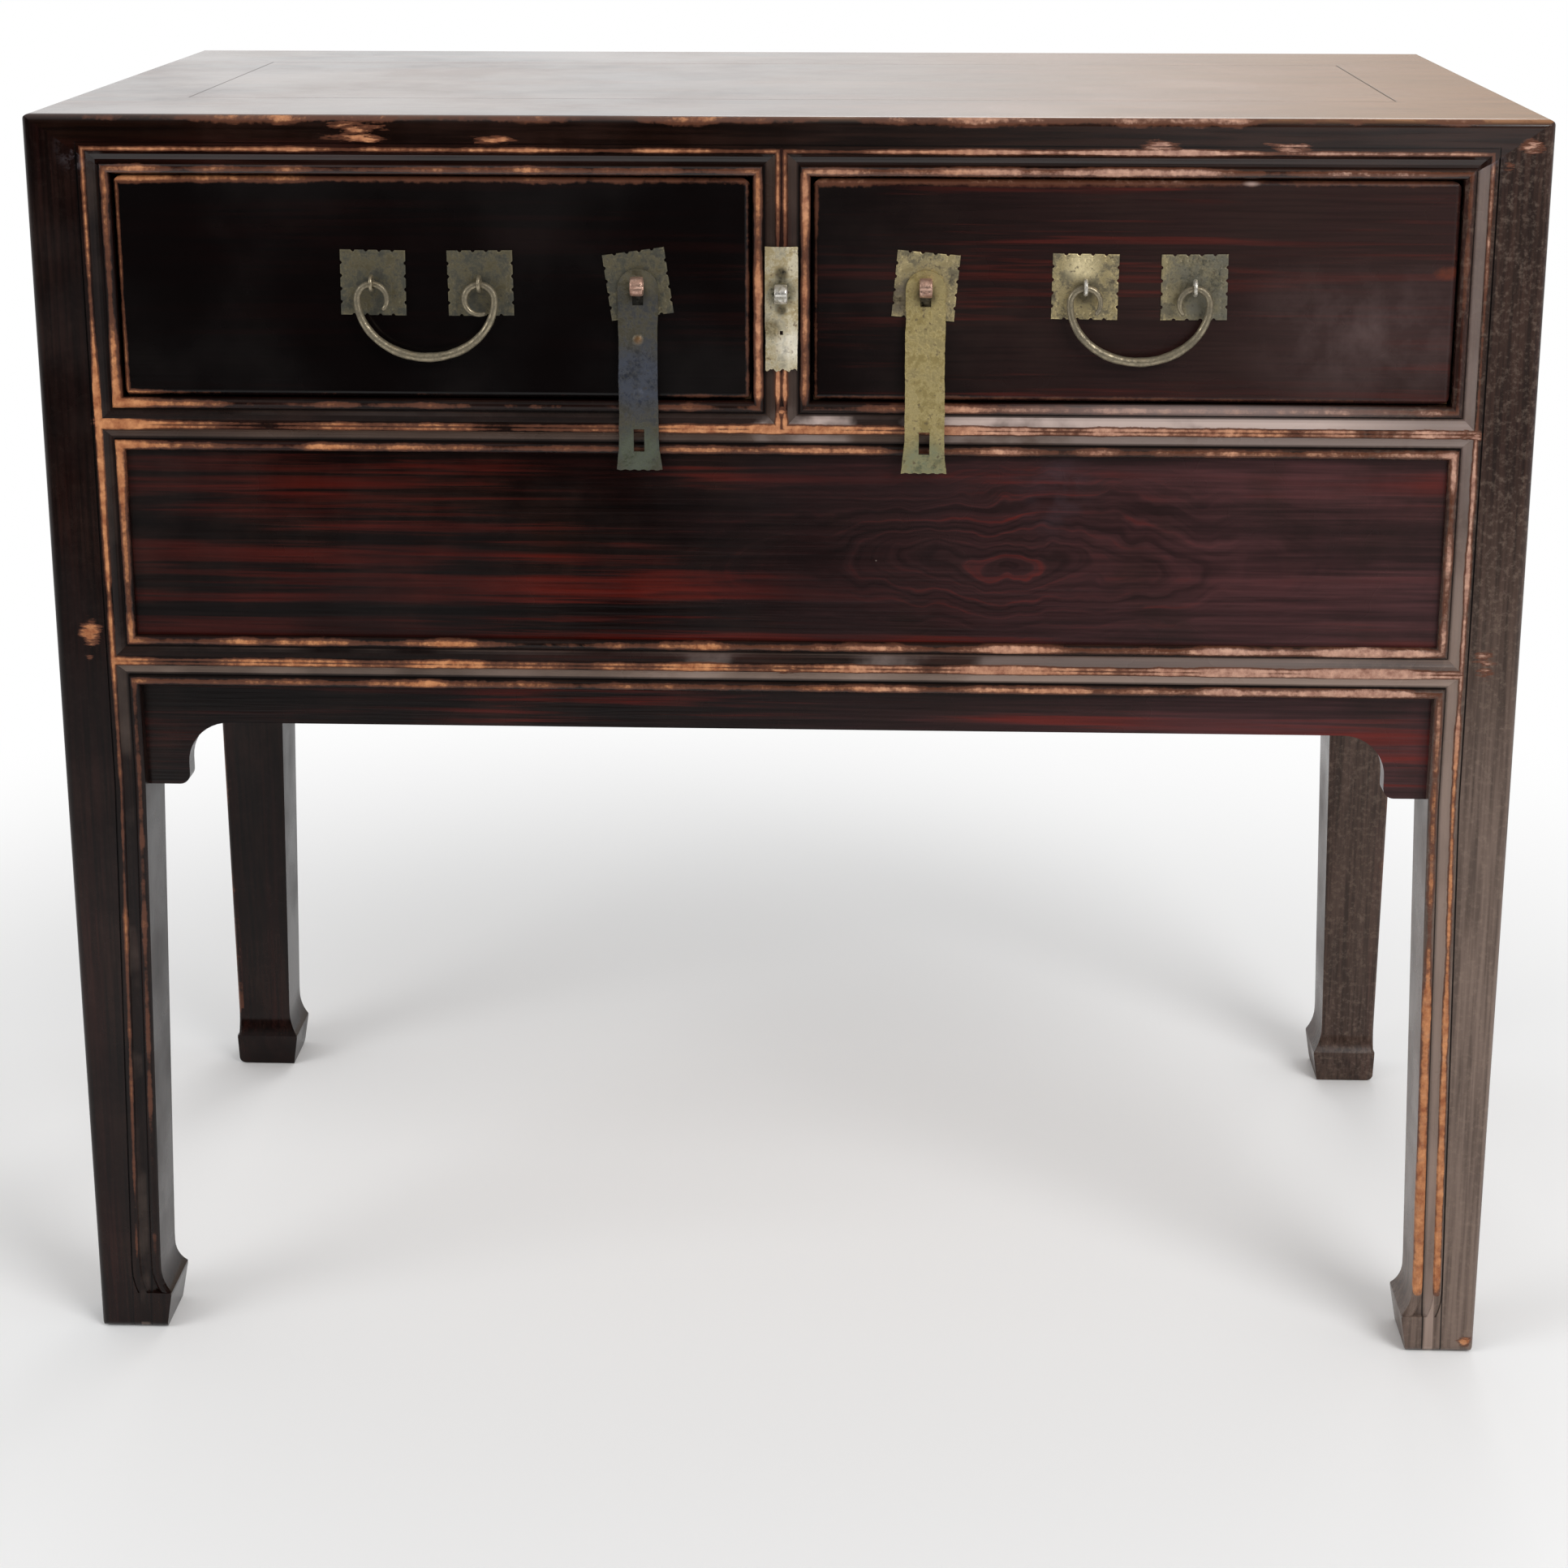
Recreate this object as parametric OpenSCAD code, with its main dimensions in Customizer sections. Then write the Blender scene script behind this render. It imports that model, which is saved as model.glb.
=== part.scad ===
// Lacquered side table with two drawers, a hidden compartment and hoof feet.
// Sizes are in millimetres. X runs along the front, Y from front to back, Z up.
// The origin lies on the floor, below the middle of the whole object.

/* [Overall] */
// Width over the legs
table_w = 950; // [800:10:1200]
// Depth over the legs
table_d = 490; // [400:10:600]
// Height from the floor to the top
table_h = 840; // [760:10:900]

/* [Top] */
// Height of the top frame's outer face
frame_t = 37; // [34:1:46]
// Width of the front and back rails, seen from above
top_rail_w = 110; // [80:1:130]
// Width of the left and right stiles, seen from above
top_stile_w = 80; // [70:1:110]
// Thickness of the boards that fill the frame
top_board_t = 12; // [9:0.5:16]
// Thickness of the boards' tongues
top_tongue_t = 5; // [4:0.5:7]
// Gap that shrinkage has opened around the boards
shrink_gap = 0.6; // [0.3:0.1:1]
// Width of the battens under the boards
batten_w = 40; // [25:1:60]
// Height of the battens
batten_h = 18; // [12:1:22]
// Distance of each batten from the middle
batten_x = 170; // [100:5:240]
// Rounding of the top's outer edges and of the soles
edge_r = 5; // [2:0.5:8]
// Rounding of the upright outer corners
corner_r = 5; // [2:0.5:8]

/* [Legs] */
// Width of a leg above the knee, on both of its faces
leg_w = 53; // [48:1:62]
// Width of a leg at the ankle
ankle_w = 43.5; // [40:0.5:48]
// Height at which the ankle's hollow begins
ankle_z = 45; // [38:1:60]
// Height of the straight stretch between that hollow and the leg's taper
ankle_h = 6; // [2:1:12]
// Flat foot of the mitre at a leg's top
mitre_foot = 0.3; // [0.2:0.1:1]
// Reach of the toe from the outer face
toe_w = 50; // [48:0.5:56]
// Height of the toe
toe_z = 26; // [20:1:32]
// Upright edge of the toe below its hollow
toe_flat = 2; // [1:0.5:5]
// Width of the sole
sole_w = 46; // [42:0.5:48]

/* [Carcase] */
// Height of the drawer openings
drawer_open_h = 143; // [110:1:170]
// Height of the rail under the drawers
mid_rail_h = 34; // [34:1:44]
// Height of the panel below that rail
panel_open_h = 124; // [80:1:150]
// Height of the bottom rail
bottom_rail_h = 34; // [34:1:44]
// Width of the upright between the drawers
divider_w = 36; // [34:1:46]
// Thickness of rails and divider, from front to back
rail_t = 34; // [30:1:40]
// Depth of the mitred shoulder at the ends of rails and divider
shoulder_t = 12; // [8:1:13]
// Thickness of the tenons
tenon_t = 10; // [8:1:14]
// Distance of the tenons behind the mitred shoulders
tenon_set = 2; // [1:0.5:4]
// Length of the rails' tenons
tenon_l = 25; // [15:1:26]
// Length of the divider's tenons
stub_l = 16; // [8:1:16]
// Height of the legs' top tenons above their mitred shoulders' foot
top_tenon_h = 24; // [18:1:28]
// Distance of the top tenons from the leg's outer faces
top_tenon_out = 12; // [8:1:14]
// Distance of the top tenons from the leg's inner faces
top_tenon_in = 7; // [5:1:10]
// Distance of a tenon from its rail's edges
tenon_inset = 4; // [2:0.5:6]
// Thickness of the side, back and lower front panels
panel_t = 8; // [6:0.5:9]
// Distance of those panels behind the frame's face
panel_set = 6; // [5:0.5:7]
// Depth of the grooves that hold panels, floor and runners
groove_l = 8; // [5:0.5:10]
// Thickness of the runners' tongues
runner_tongue_t = 8; // [5:0.5:10]
// Thickness of the compartment's floor
floor_t = 10; // [8:0.5:14]
// Height of the floor's underside above the bottom rail's underside
floor_lift = 8; // [6:0.5:12]
// Gap of tenons, tongues and panels in their seats
joint_gap = 0.2; // [0.1:0.05:0.4]

/* [Moulding] */
// Radius of the bead round each opening
bead_r = 3.6; // [3:0.1:4]
// Depth of the bead's crest behind the face
bead_set = 0.4; // [0.2:0.1:0.8]
// How much of the bead's round the opening's edge trims away
bead_trim = 0.2; // [0.1:0.05:0.4]
// Radius of the cove between bead and ridge
cove_r = 9; // [8:0.5:10]
// Width of the flat ridge beside the cove
ridge_w = 4.6; // [3:0.1:6]
// Width of the scratched line beyond the ridge
line_w = 1; // [0.6:0.1:1.6]
// Depth of that line
line_d = 1; // [0.6:0.1:1.6]

/* [Apron] */
// Height of the apron between its ends
apron_h = 28; // [18:1:40]
// Thickness of the apron
apron_t = 14; // [10:1:18]
// Distance of the apron behind the frame's face
apron_set = 11; // [8:0.5:14]
// Thickness of the tongue on the apron's upper edge
apron_tongue_t = 6; // [4:0.5:8]
// Height of that tongue
apron_tongue_h = 5; // [3:0.5:6]
// Drop of the apron's ends below its middle
spandrel_h = 43; // [32:1:55]
// Width of each end at its foot
spandrel_w = 28; // [20:1:40]
// Radius of the hollow curve up to the middle
spandrel_r = 28; // [15:1:30]
// Radius of the end's lower inner corner
nose_r = 7; // [3:0.5:10]

/* [Drawers] */
// Gap round a drawer front
drawer_gap = 1.2; // [0.6:0.1:2]
// Distance of the drawer front behind the frame's face
drawer_set = 4; // [2:0.5:6]
// Thickness of a drawer front
front_t = 18; // [14:1:22]
// Rounding of the front's face edges
front_edge_r = 4; // [2:0.5:6]
// Rounding of the front's corners
front_corner_r = 7; // [3:0.5:10]
// Thickness of a drawer's sides and back
side_t = 12; // [9:1:14]
// Height of a drawer's sides
side_h = 134; // [100:1:136]
// Depth to which the sides enter the front
lap_l = 10; // [6:1:13]
// Height of a drawer's back
back_h = 110; // [80:1:118]
// Thickness of a drawer's bottom
bottom_t = 7; // [5:0.5:9]
// Height of the bottom above the sides' lower edge
bottom_lift = 8; // [6:0.5:12]
// Depth of the grooves round the bottom
bottom_groove = 5; // [3:0.5:6]
// Space between a drawer's end and the back panel
drawer_back_gap = 12; // [6:1:40]
// Sliding gap below the sides
slide_gap = 0.3; // [0.2:0.05:0.5]
// Gap between a drawer's side and its guide
guide_gap = 0.8; // [0.4:0.1:1.5]
// Set-in of the sides from the front's ends
side_inset = 0.5; // [0.2:0.1:2]
// Thickness of the runners
runner_t = 16; // [12:1:24]
// Bearing width that a runner gives past a drawer's side
runner_lip = 4; // [2:1:12]
// Height of the guides above the runners
guide_h = 12; // [8:1:18]

/* [Bail handles] */
// Height of the bail and hasp pivots above the drawer openings' sill
pull_h = 75; // [60:1:85]
// Distance of a bail's middle from the middle of its drawer opening
bail_shift = 4; // [0:1:20]
// Distance between a bail's two eyes
pull_span = 68; // [60:1:80]
// Side of the square plates behind the eyes
plate_w = 41.5; // [34:0.5:46]
// Thickness of all brass plates
plate_t = 1.2; // [0.8:0.1:2]
// Radius of the notches along the plates' edges
notch_r = 1.2; // [0.8:0.1:1.8]
// Radius of the scroll at each end of a bail
scroll_r = 9.5; // [7:0.5:11]
// Turn of each scroll past its top, in degrees
scroll_turn = 140; // [90:5:170]
// Drop of the bail's bottom below its pivot
bail_drop = 46.5; // [36:0.5:52]
// Radius of the wire at the eyes
wire_r = 2.1; // [1.6:0.1:2.5]
// Radius of the wire at the bottom of the bail
grip_r = 2.9; // [2.4:0.1:4]
// Radius of the wire at the scroll's tip
tip_r = 1.4; // [1:0.1:2]
// Radius of the ring that an eye's wire follows
eye_ring_r = 4.3; // [4.1:0.1:5]
// Radius of that eye's own wire
eye_wire_r = 1.3; // [1:0.1:1.5]
// Gap between a bail's wire and the eye above it
bail_play = 0.3; // [0.2:0.05:0.5]

/* [Hasps and lock] */
// Distance of a hasp's pivot from the table's middle
hasp_x = 90.5; // [80:0.5:100]
// Width of a hasp's back plate
hasp_plate_w = 39.5; // [34:0.5:44]
// Height of a hasp's back plate
hasp_plate_h = 42; // [36:0.5:46]
// Anticlockwise tilt of the left back plate, in degrees
hasp_tilt_left = 8; // [-10:1:10]
// Anticlockwise tilt of the right back plate, in degrees
hasp_tilt_right = -5; // [-10:1:10]
// Outer radius of the rolled eye
lug_r = 6.2; // [6:0.1:7]
// Radius of the hole in the rolled eye
lug_bore_r = 4; // [3:0.1:4.5]
// Width of the rolled eye
lug_w = 8; // [7:0.5:10]
// Radius of the staples' necks
neck_r = 3.1; // [2.5:0.1:3.3]
// Gap between a strap's slot and the neck
strap_play = 0.3; // [0.2:0.05:0.5]
// Width of a strap at its pivot
strap_w = 25; // [20:0.5:28]
// Width of a strap at its lower end
strap_foot_w = 29; // [24:0.5:34]
// Height of the strap's round head above the pivot
strap_head = 10; // [9:0.5:14]
// Thickness of a strap
strap_t = 1.8; // [1.2:0.1:2.4]
// Length of the strap's pivot slot below the pivot
strap_slack = 13; // [8:0.5:16]
// Extra reach of the lock slot past the lock staple
lock_reach = 8.5; // [6:0.5:12]
// Height of the lock slot
lock_slot_h = 14.5; // [13:0.5:18]
// Length of the strap below the lock slot's middle
strap_tail = 19; // [14:0.5:26]
// Gap between the lock plate and the left strap when it passes over the plate
strap_clear = 0.3; // [0.2:0.1:1]
// Gap between the left strap's bosses and the right strap, which passes over them
strap_over = 0.3; // [0.2:0.1:1]
// Radius of the bosses on the left strap
boss_r = 3.4; // [2:0.2:4]
// Height of those bosses
boss_h = 1; // [0.6:0.1:1.6]
// Width of the lock plate on the divider
lock_plate_w = 21; // [16:0.5:21]
// Height of the lock plate
lock_plate_h = 79; // [50:1:90]
// Drop of the lock plate's middle below the pivots
lock_plate_drop = 15; // [0:1:20]
// Distance of the lock eye's middle in front of the frame's face
lock_eye_out = 9; // [9:0.5:12]
// Drop of the lock eye below the pivots
lock_drop = 4; // [0:0.5:8]
// Thickness of the clinched staple ends
clinch_t = 1.4; // [1:0.1:2]
// Length of each clinched staple end
clinch_l = 11; // [7:1:16]
// Gap between staples and the holes they pass
hole_gap = 0.15; // [0.1:0.05:0.3]

/* [Hidden] */
$fn = 96;

LACQUER = "#241712";
TOP_LACQUER = "#4b3a2f";
BARE_WOOD = "#8a6a48";
OLD_BRASS = "#6b6554";
BRIGHT_BRASS = "#b5a36a";
PALE_BRASS = "#cbbf9c";

// Cutting tools run this far past the faces that they cut
over = 1;

// Heights of the openings' edges, from the top down
head_z = table_h - frame_t;
sill_z = head_z - drawer_open_h;
panel_head_z = sill_z - mid_rail_h;
panel_sill_z = panel_head_z - panel_open_h;
knee_head_z = panel_sill_z - bottom_rail_h;
apron_z = knee_head_z - apron_h;
knee_z = apron_z - spandrel_h;
pull_z = sill_z + pull_h;

// The brass stands in front of the frame, so the frame's face lies behind the middle by half of that
brass_out = lock_eye_out + lug_r;
front_y = (brass_out - table_d) / 2;
back_y = front_y + table_d;
mid_y = (front_y + back_y) / 2;

// The bead's crest, the cove and the ridge, measured from an opening's edge
bead_d = bead_set + bead_r;
bead_w = 2 * bead_r - bead_trim;
ridge_t = bead_w + sqrt(pow(cove_r, 2) - pow(cove_r - bead_d, 2));
line_t = ridge_t + ridge_w;
bead_steps = 8;
cove_steps = 5;
cove_turn = acos(1 - (bead_d + over / 2) / cove_r);

// The toe's hollow is an arc that leaves the ankle upright and ends at the toe, just past the moulding
toe_out = toe_w - ankle_w;
toe_drop = ankle_z - toe_z;
flare_r = (pow(toe_out, 2) + pow(toe_drop, 2)) / (2 * toe_out);
flare_turn = asin(toe_drop / flare_r);
flare_steps = 5;
flare_tail = 3;
bend_shift = 0.5;

// The drawers
open_out = table_w / 2 - leg_w;
open_in = divider_w / 2;
drawer_l = table_d - drawer_set - panel_set - panel_t - drawer_back_gap;
box_out = open_out - drawer_gap - side_inset;
box_in = open_in + drawer_gap + side_inset;
box_z = sill_z + slide_gap;
bail_x = (open_out + open_in) / 2 + bail_shift;

// Distances in front of the frame's face
plate_out = plate_t - drawer_set;
eye_out = plate_out + hole_gap + eye_ring_r + eye_wire_r;
strap_back_out = plate_out + 2 * hole_gap;
hasp_eye_out = strap_back_out + strap_t + strap_play + lug_r;
eye_lift = eye_ring_r - eye_wire_r - wire_r - bail_play;
strap_slot_z = -(hasp_x + lock_reach);
strap_foot_z = strap_slot_z - strap_tail;
strap_bend_z = -strap_slack - neck_r;
strap_hang_z = strap_slot_z * 0.6;
boss_z = strap_slot_z * 0.35;
left_hang = plate_t + strap_clear;
right_hang = left_hang + strap_t + boss_h + strap_over;

// Helpers

// Places its children on a face of the carcase: X along the face, Y inwards from it
module on_face(face) {
    if (face == "front") translate([0, front_y, 0]) children();
    if (face == "back") translate([0, back_y, 0]) rotate([0, 0, 180]) children();
    if (face == "right") translate([table_w / 2, mid_y, 0]) rotate([0, 0, 90]) children();
    if (face == "left") mirror([1, 0, 0]) on_face("right") children();
}

// Width of a face over its legs
function face_w(face) = (face == "front" || face == "back") ? table_w : table_d;

// Half the width of a face between its legs
function half_open(face) = face_w(face) / 2 - leg_w;

// Places its children in a corner: X and Y run inwards from the two outer faces
module at_corner(sx, sy) {
    translate([sx * table_w / 2, sy < 0 ? front_y : back_y, 0])
        mirror([sx > 0 ? 1 : 0, 0, 0]) mirror([0, sy > 0 ? 1 : 0, 0]) children();
}

// Block given by two opposite corners
module block(a, b) {
    translate(a) cube(b - a);
}

// Flat shape in X and Z, given depth from y0 to y1
module upright(y0, y1) {
    translate([0, y1, 0]) rotate([90, 0, 0]) linear_extrude(y1 - y0) children();
}

// Square with corners rounded by circles
module soft_square(size, r) {
    translate([r, 0]) square([size.x - 2 * r, size.y]);
    translate([0, r]) square([size.x, size.y - 2 * r]);
    for (x = [r, size.x - r], y = [r, size.y - r]) translate([x, y]) circle(r);
}

// The rounded outer shape of the whole table
module envelope() {
    intersection() {
        translate([-table_w / 2, front_y, -over])
            linear_extrude(table_h + 2 * over) soft_square([table_w, table_d], corner_r);
        upright(front_y - over, back_y + over)
            translate([-table_w / 2, 0]) soft_square([table_w, table_h], edge_r);
        translate([-table_w / 2 - over, front_y, 0]) rotate([90, 0, 90])
            linear_extrude(table_w + 2 * over) soft_square([table_d, table_h], edge_r);
    }
}

// Mouldings

// Bead and cove as they are cut away along an edge: each point is [in from the edge, deep]
function bead_and_cove() = concat(
    [[-over, -over], [-over, bead_d]],
    [for (i = [0 : bead_steps])
        let (a = 180 * i / bead_steps)
        [bead_r * (1 - cos(a)) - bead_trim, bead_d - bead_r * sin(a)]],
    [for (i = [1 : cove_steps])
        let (a = cove_turn * i / cove_steps)
        [bead_w + cove_r * sin(a), bead_d - cove_r * (1 - cos(a))]]
);

// Line that is scratched beyond the ridge
function scratched_line() = [
    [line_t, -over], [line_t, line_d], [line_t + line_w, line_d], [line_t + line_w, -over]
];

// Moulding along +X, on the lower edge of what lies above it
module run(length) {
    rotate([90, 0, 90]) linear_extrude(length) polygon([for (p = bead_and_cove()) [p.y, p.x]]);
}

// Unit step to the left of a path's direction
function leftward(v) = [-v.y, v.x] / norm(v);

// Step into the wood at a point of a path, stretched so that the moulding keeps its width round the bend
function mitre_step(path, i) =
    let (
        last = len(path) - 1,
        before = leftward(path[max(i, 1)] - path[max(i, 1) - 1]),
        after = leftward(path[min(i, last - 1) + 1] - path[min(i, last - 1)])
    )
    (before + after) / (1 + before * after);

// What an outline cuts along a path of [x, z] points, with the wood on the path's left
module swept_cut(path, outline) {
    sides = len(outline);
    last = len(path) - 1;
    points = [for (i = [0 : last])
        let (step = mitre_step(path, i))
        for (p = outline) [path[i].x + p.x * step.x, p.y, path[i].y + p.x * step.y]];
    walls = [for (i = [0 : last - 1], k = [0 : sides - 1])
        let (m = (k + 1) % sides)
        each [[i * sides + k, (i + 1) * sides + k, i * sides + m],
            [i * sides + m, (i + 1) * sides + k, (i + 1) * sides + m]]];
    ends = [[for (k = [0 : sides - 1]) k], [for (k = [sides - 1 : -1 : 0]) last * sides + k]];
    polyhedron(points, concat(walls, ends));
}

// Inner edge of the leg on a face's left, from the toe up past the head, its bends a little off the leg's
function leg_path(half) =
    let (ankle_x = half + leg_w - ankle_w)
    concat(
        [[toe_w + flare_tail * sin(flare_turn) - half - leg_w, toe_z - flare_tail * cos(flare_turn)]],
        [for (i = [flare_steps : -1 : 1])
            let (a = flare_turn * i / flare_steps)
            [flare_r * (1 - cos(a)) - ankle_x, ankle_z - flare_r * sin(a)]],
        [
            [-ankle_x, ankle_z + bend_shift], [-ankle_x, ankle_z + ankle_h - bend_shift],
            [-half, knee_z + bend_shift], [-half, table_h + over]
        ]
    );

// Moulding down the leg on a face's left, which ends in a level ledge on the toe
module leg_carving(face) {
    half = half_open(face);
    path = leg_path(half);
    intersection() {
        union() {
            swept_cut(path, bead_and_cove());
            swept_cut(path, scratched_line());
        }
        block([-half - leg_w, -2 * over, toe_z + bend_shift], [half, 2 * cove_r, table_h + 2 * over]);
    }
}

// Moulding under the head of a face, returned down the legs as far as their mitres need
module head_carving(face) {
    half = half_open(face);
    low = head_z - 2 * over;
    path = [[-half, low], [-half, head_z], [half, head_z], [half, low]];
    swept_cut(path, bead_and_cove());
    swept_cut(path, scratched_line());
}

// Mouldings along both edges of a rail, run out over its points
module rail_carving(face, z0, z1) {
    x = half_open(face) + (z1 - z0) / 2 + over;
    translate([-x, 0, z0]) run(2 * x);
    translate([-x, 0, z1]) mirror([0, 0, 1]) run(2 * x);
}

module divider_carving() {
    z = head_z + open_in + over;
    for (side = [0, 1]) mirror([side, 0, 0])
        translate([-open_in, 0, z]) rotate([0, 90, 0]) run(z - sill_z + open_in + over);
}

// Legs and rails

// Outline of a leg's face, with its mitred top and hoof foot
module leg_outline() {
    difference() {
        polygon([
            [0, 0], [sole_w, 0], [toe_w, toe_z - toe_flat], [toe_w, ankle_z], [ankle_w, ankle_z],
            [ankle_w, ankle_z + ankle_h], [leg_w, knee_z], [leg_w, head_z],
            [leg_w - mitre_foot, head_z], [0, table_h]
        ]);
        intersection() {
            translate([ankle_w + flare_r, ankle_z]) circle(flare_r);
            translate([0, toe_z - over]) square([2 * leg_w, ankle_z - toe_z + over]);
        }
    }
}

// Two stub tenons on a leg's top: one for the rail of the top frame, one for its stile
module leg_tenons(gap) {
    far = leg_w - top_tenon_in;
    for (swap = [false, true]) mirror(swap ? [1, -1, 0] : [0, 0, 0])
        block([far - tenon_t - gap, top_tenon_out - gap, head_z - 2 * over],
            [far + gap, top_tenon_out + tenon_t + gap, head_z + top_tenon_h + gap]);
}

// Leg before its joints are cut, in its corner
module leg_blank() {
    intersection() {
        upright(0, 2 * leg_w) leg_outline();
        mirror([1, -1, 0]) upright(0, 2 * leg_w) leg_outline();
    }
    leg_tenons(0);
}

// The leg's mitred top, as the top frame's pieces are cut to fit it
module leg_mitre() {
    slope = frame_t / (leg_w - mitre_foot);
    intersection() {
        upright(-over, 2 * leg_w) mitre_outline(slope);
        mirror([1, -1, 0]) upright(-over, 2 * leg_w) mitre_outline(slope);
    }
}

module mitre_outline(slope) {
    drop = slope * over;
    foot_x = leg_w - mitre_foot + over;
    polygon([[-over, head_z - drop], [-over, table_h + drop], [foot_x, head_z - drop]]);
}

// Pointed shoulder of a rail's end, on the face's left
module rail_tip(half, z0, z1) {
    polygon([[-half, z0], [-half - (z1 - z0) / 2, (z0 + z1) / 2], [-half, z1]]);
}

// Both tenons of a rail, with a gap when they are cut as mortises
module rail_tenons(half, z0, z1, gap) {
    for (side = [0, 1]) mirror([side, 0, 0])
        block([-half - tenon_l - gap, shoulder_t + tenon_set - gap, z0 + tenon_inset - gap],
            [-half + gap, shoulder_t + tenon_set + tenon_t + gap, z1 - tenon_inset + gap]);
}

// Both pointed shoulders of a rail
module rail_tips(half, z0, z1, y0) {
    for (side = [0, 1]) mirror([side, 0, 0]) upright(y0, shoulder_t) rail_tip(half, z0, z1);
}

// Grooves that a panel needs in all that surrounds it
module panel_groove(half, z0, z1) {
    y0 = panel_set - joint_gap;
    y1 = panel_set + panel_t + joint_gap;
    block([-half - groove_l - joint_gap, y0, z0], [half + groove_l + joint_gap, y1, z1]);
    block([-half, y0, z0 - groove_l - joint_gap], [half, y1, z1 + groove_l + joint_gap]);
}

// Seats that one face's rails and panels need in its legs
module leg_seats(face) {
    half = half_open(face);
    for (z = [[panel_head_z, sill_z], [knee_head_z, panel_sill_z]]) {
        rail_tenons(half, z[0], z[1], joint_gap);
        if (face != "back") rail_tips(half, z[0], z[1], -over);
    }
    panel_groove(half, panel_sill_z, panel_head_z);
    if (face != "front") panel_groove(half, sill_z, head_z);
}

module leg(sx, sy) {
    end_face = sy < 0 ? "front" : "back";
    side_face = sx < 0 ? "left" : "right";
    color(LACQUER) difference() {
        intersection() {
            at_corner(sx, sy) leg_blank();
            envelope();
        }
        for (face = [end_face, side_face]) on_face(face) leg_seats(face);
        if (sy < 0) on_face("front") mirror([sx > 0 ? 1 : 0, 0, 0]) leg_carving("front");
        on_face(side_face) mirror([sy > 0 ? 1 : 0, 0, 0]) leg_carving(side_face);
    }
}

// Rail between two legs, flush with its face
module rail(face, z0, z1) {
    half = half_open(face);
    difference() {
        union() {
            block([-half, 0, z0], [half, rail_t, z1]);
            if (face != "back") rail_tips(half, z0, z1, 0);
            rail_tenons(half, z0, z1, 0);
        }
        panel_groove(half, panel_sill_z, panel_head_z);
        if (face != "front") panel_groove(half, sill_z, head_z);
        floor_groove(face);
        if (face != "back") rail_carving(face, z0, z1);
    }
}

// Groove that the compartment's floor needs in the bottom rails
module floor_groove(face) {
    half = half_open(face);
    block([-half, rail_t - groove_l - joint_gap, knee_head_z + floor_lift - joint_gap],
        [half, rail_t + over, knee_head_z + floor_lift + floor_t + joint_gap]);
}

module mid_rail(face) {
    color(LACQUER) difference() {
        on_face(face) difference() {
            rail(face, panel_head_z, sill_z);
            if (face == "front") divider_joint(joint_gap);
        }
        runner_tongues(joint_gap);
    }
}

module bottom_rail(face) {
    color(LACQUER) on_face(face) difference() {
        rail(face, knee_head_z, panel_sill_z);
        apron_tongue(face, joint_gap);
    }
}

// Points and tenons of the divider, with a gap when they are cut as its seats
module divider_joint(gap) {
    tip = open_in;
    upright(gap > 0 ? -over : 0, shoulder_t) {
        polygon([[-tip, head_z], [0, head_z + tip], [tip, head_z]]);
        polygon([[-tip, sill_z], [0, sill_z - tip], [tip, sill_z]]);
    }
    block([-tip + tenon_inset - gap, shoulder_t + tenon_set - gap, sill_z - stub_l - gap],
        [tip - tenon_inset + gap, shoulder_t + tenon_set + tenon_t + gap, head_z + stub_l + gap]);
}

module drawer_divider() {
    color(LACQUER) on_face("front") difference() {
        union() {
            block([-open_in, 0, sill_z], [open_in, rail_t, head_z]);
            divider_joint(0);
        }
        divider_carving();
        staple_hole(0, pull_z - lock_drop, neck_r);
    }
}

// Hole along Y for a staple's shank
module staple_hole(x, z, r) {
    translate([x, -lug_r, z]) rotate([-90, 0, 0]) cylinder(h = 2 * rail_t, r = r + hole_gap);
}

module panel(face, z0, z1) {
    half = half_open(face);
    color(LACQUER) on_face(face) {
        block([-half - groove_l, panel_set, z0], [half + groove_l, panel_set + panel_t, z1]);
        block([-half, panel_set, z0 - groove_l], [half, panel_set + panel_t, z1 + groove_l]);
    }
}

// One end of an apron, its outer edge at X = 0 and the middle's underside at Y = 0
module spandrel() {
    difference() {
        translate([0, -spandrel_h]) square([spandrel_w + spandrel_r, spandrel_h]);
        translate([spandrel_w + spandrel_r, -spandrel_r]) circle(spandrel_r);
        translate([spandrel_w, -spandrel_h - over])
            square([spandrel_r + over, spandrel_h - spandrel_r + over]);
        translate([spandrel_w - nose_r, -spandrel_h]) difference() {
            translate([0, -over]) square([nose_r + over, nose_r + over]);
            translate([0, nose_r]) circle(nose_r);
        }
    }
}

module apron(face) {
    half = half_open(face);
    color(LACQUER) on_face(face) {
        upright(apron_set, apron_set + apron_t) {
            translate([-half, apron_z]) square([2 * half, apron_h]);
            if (face != "back")
                for (side = [0, 1]) mirror([side, 0]) translate([-half, apron_z]) spandrel();
        }
        apron_tongue(face, 0);
    }
}

module apron_tongue(face, gap) {
    half = half_open(face);
    y0 = apron_set + (apron_t - apron_tongue_t) / 2;
    block([-half, y0 - gap, knee_head_z - over],
        [half, y0 + apron_tongue_t + gap, knee_head_z + apron_tongue_h + gap]);
}

// Top

// Plan of a rail or stile of the top frame, with mitred ends
module mitred_plan(length, width, back_off) {
    polygon([
        [-length / 2, 0], [length / 2, 0],
        [length / 2 - back_off, width], [-length / 2 + back_off, width]
    ]);
}

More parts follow.
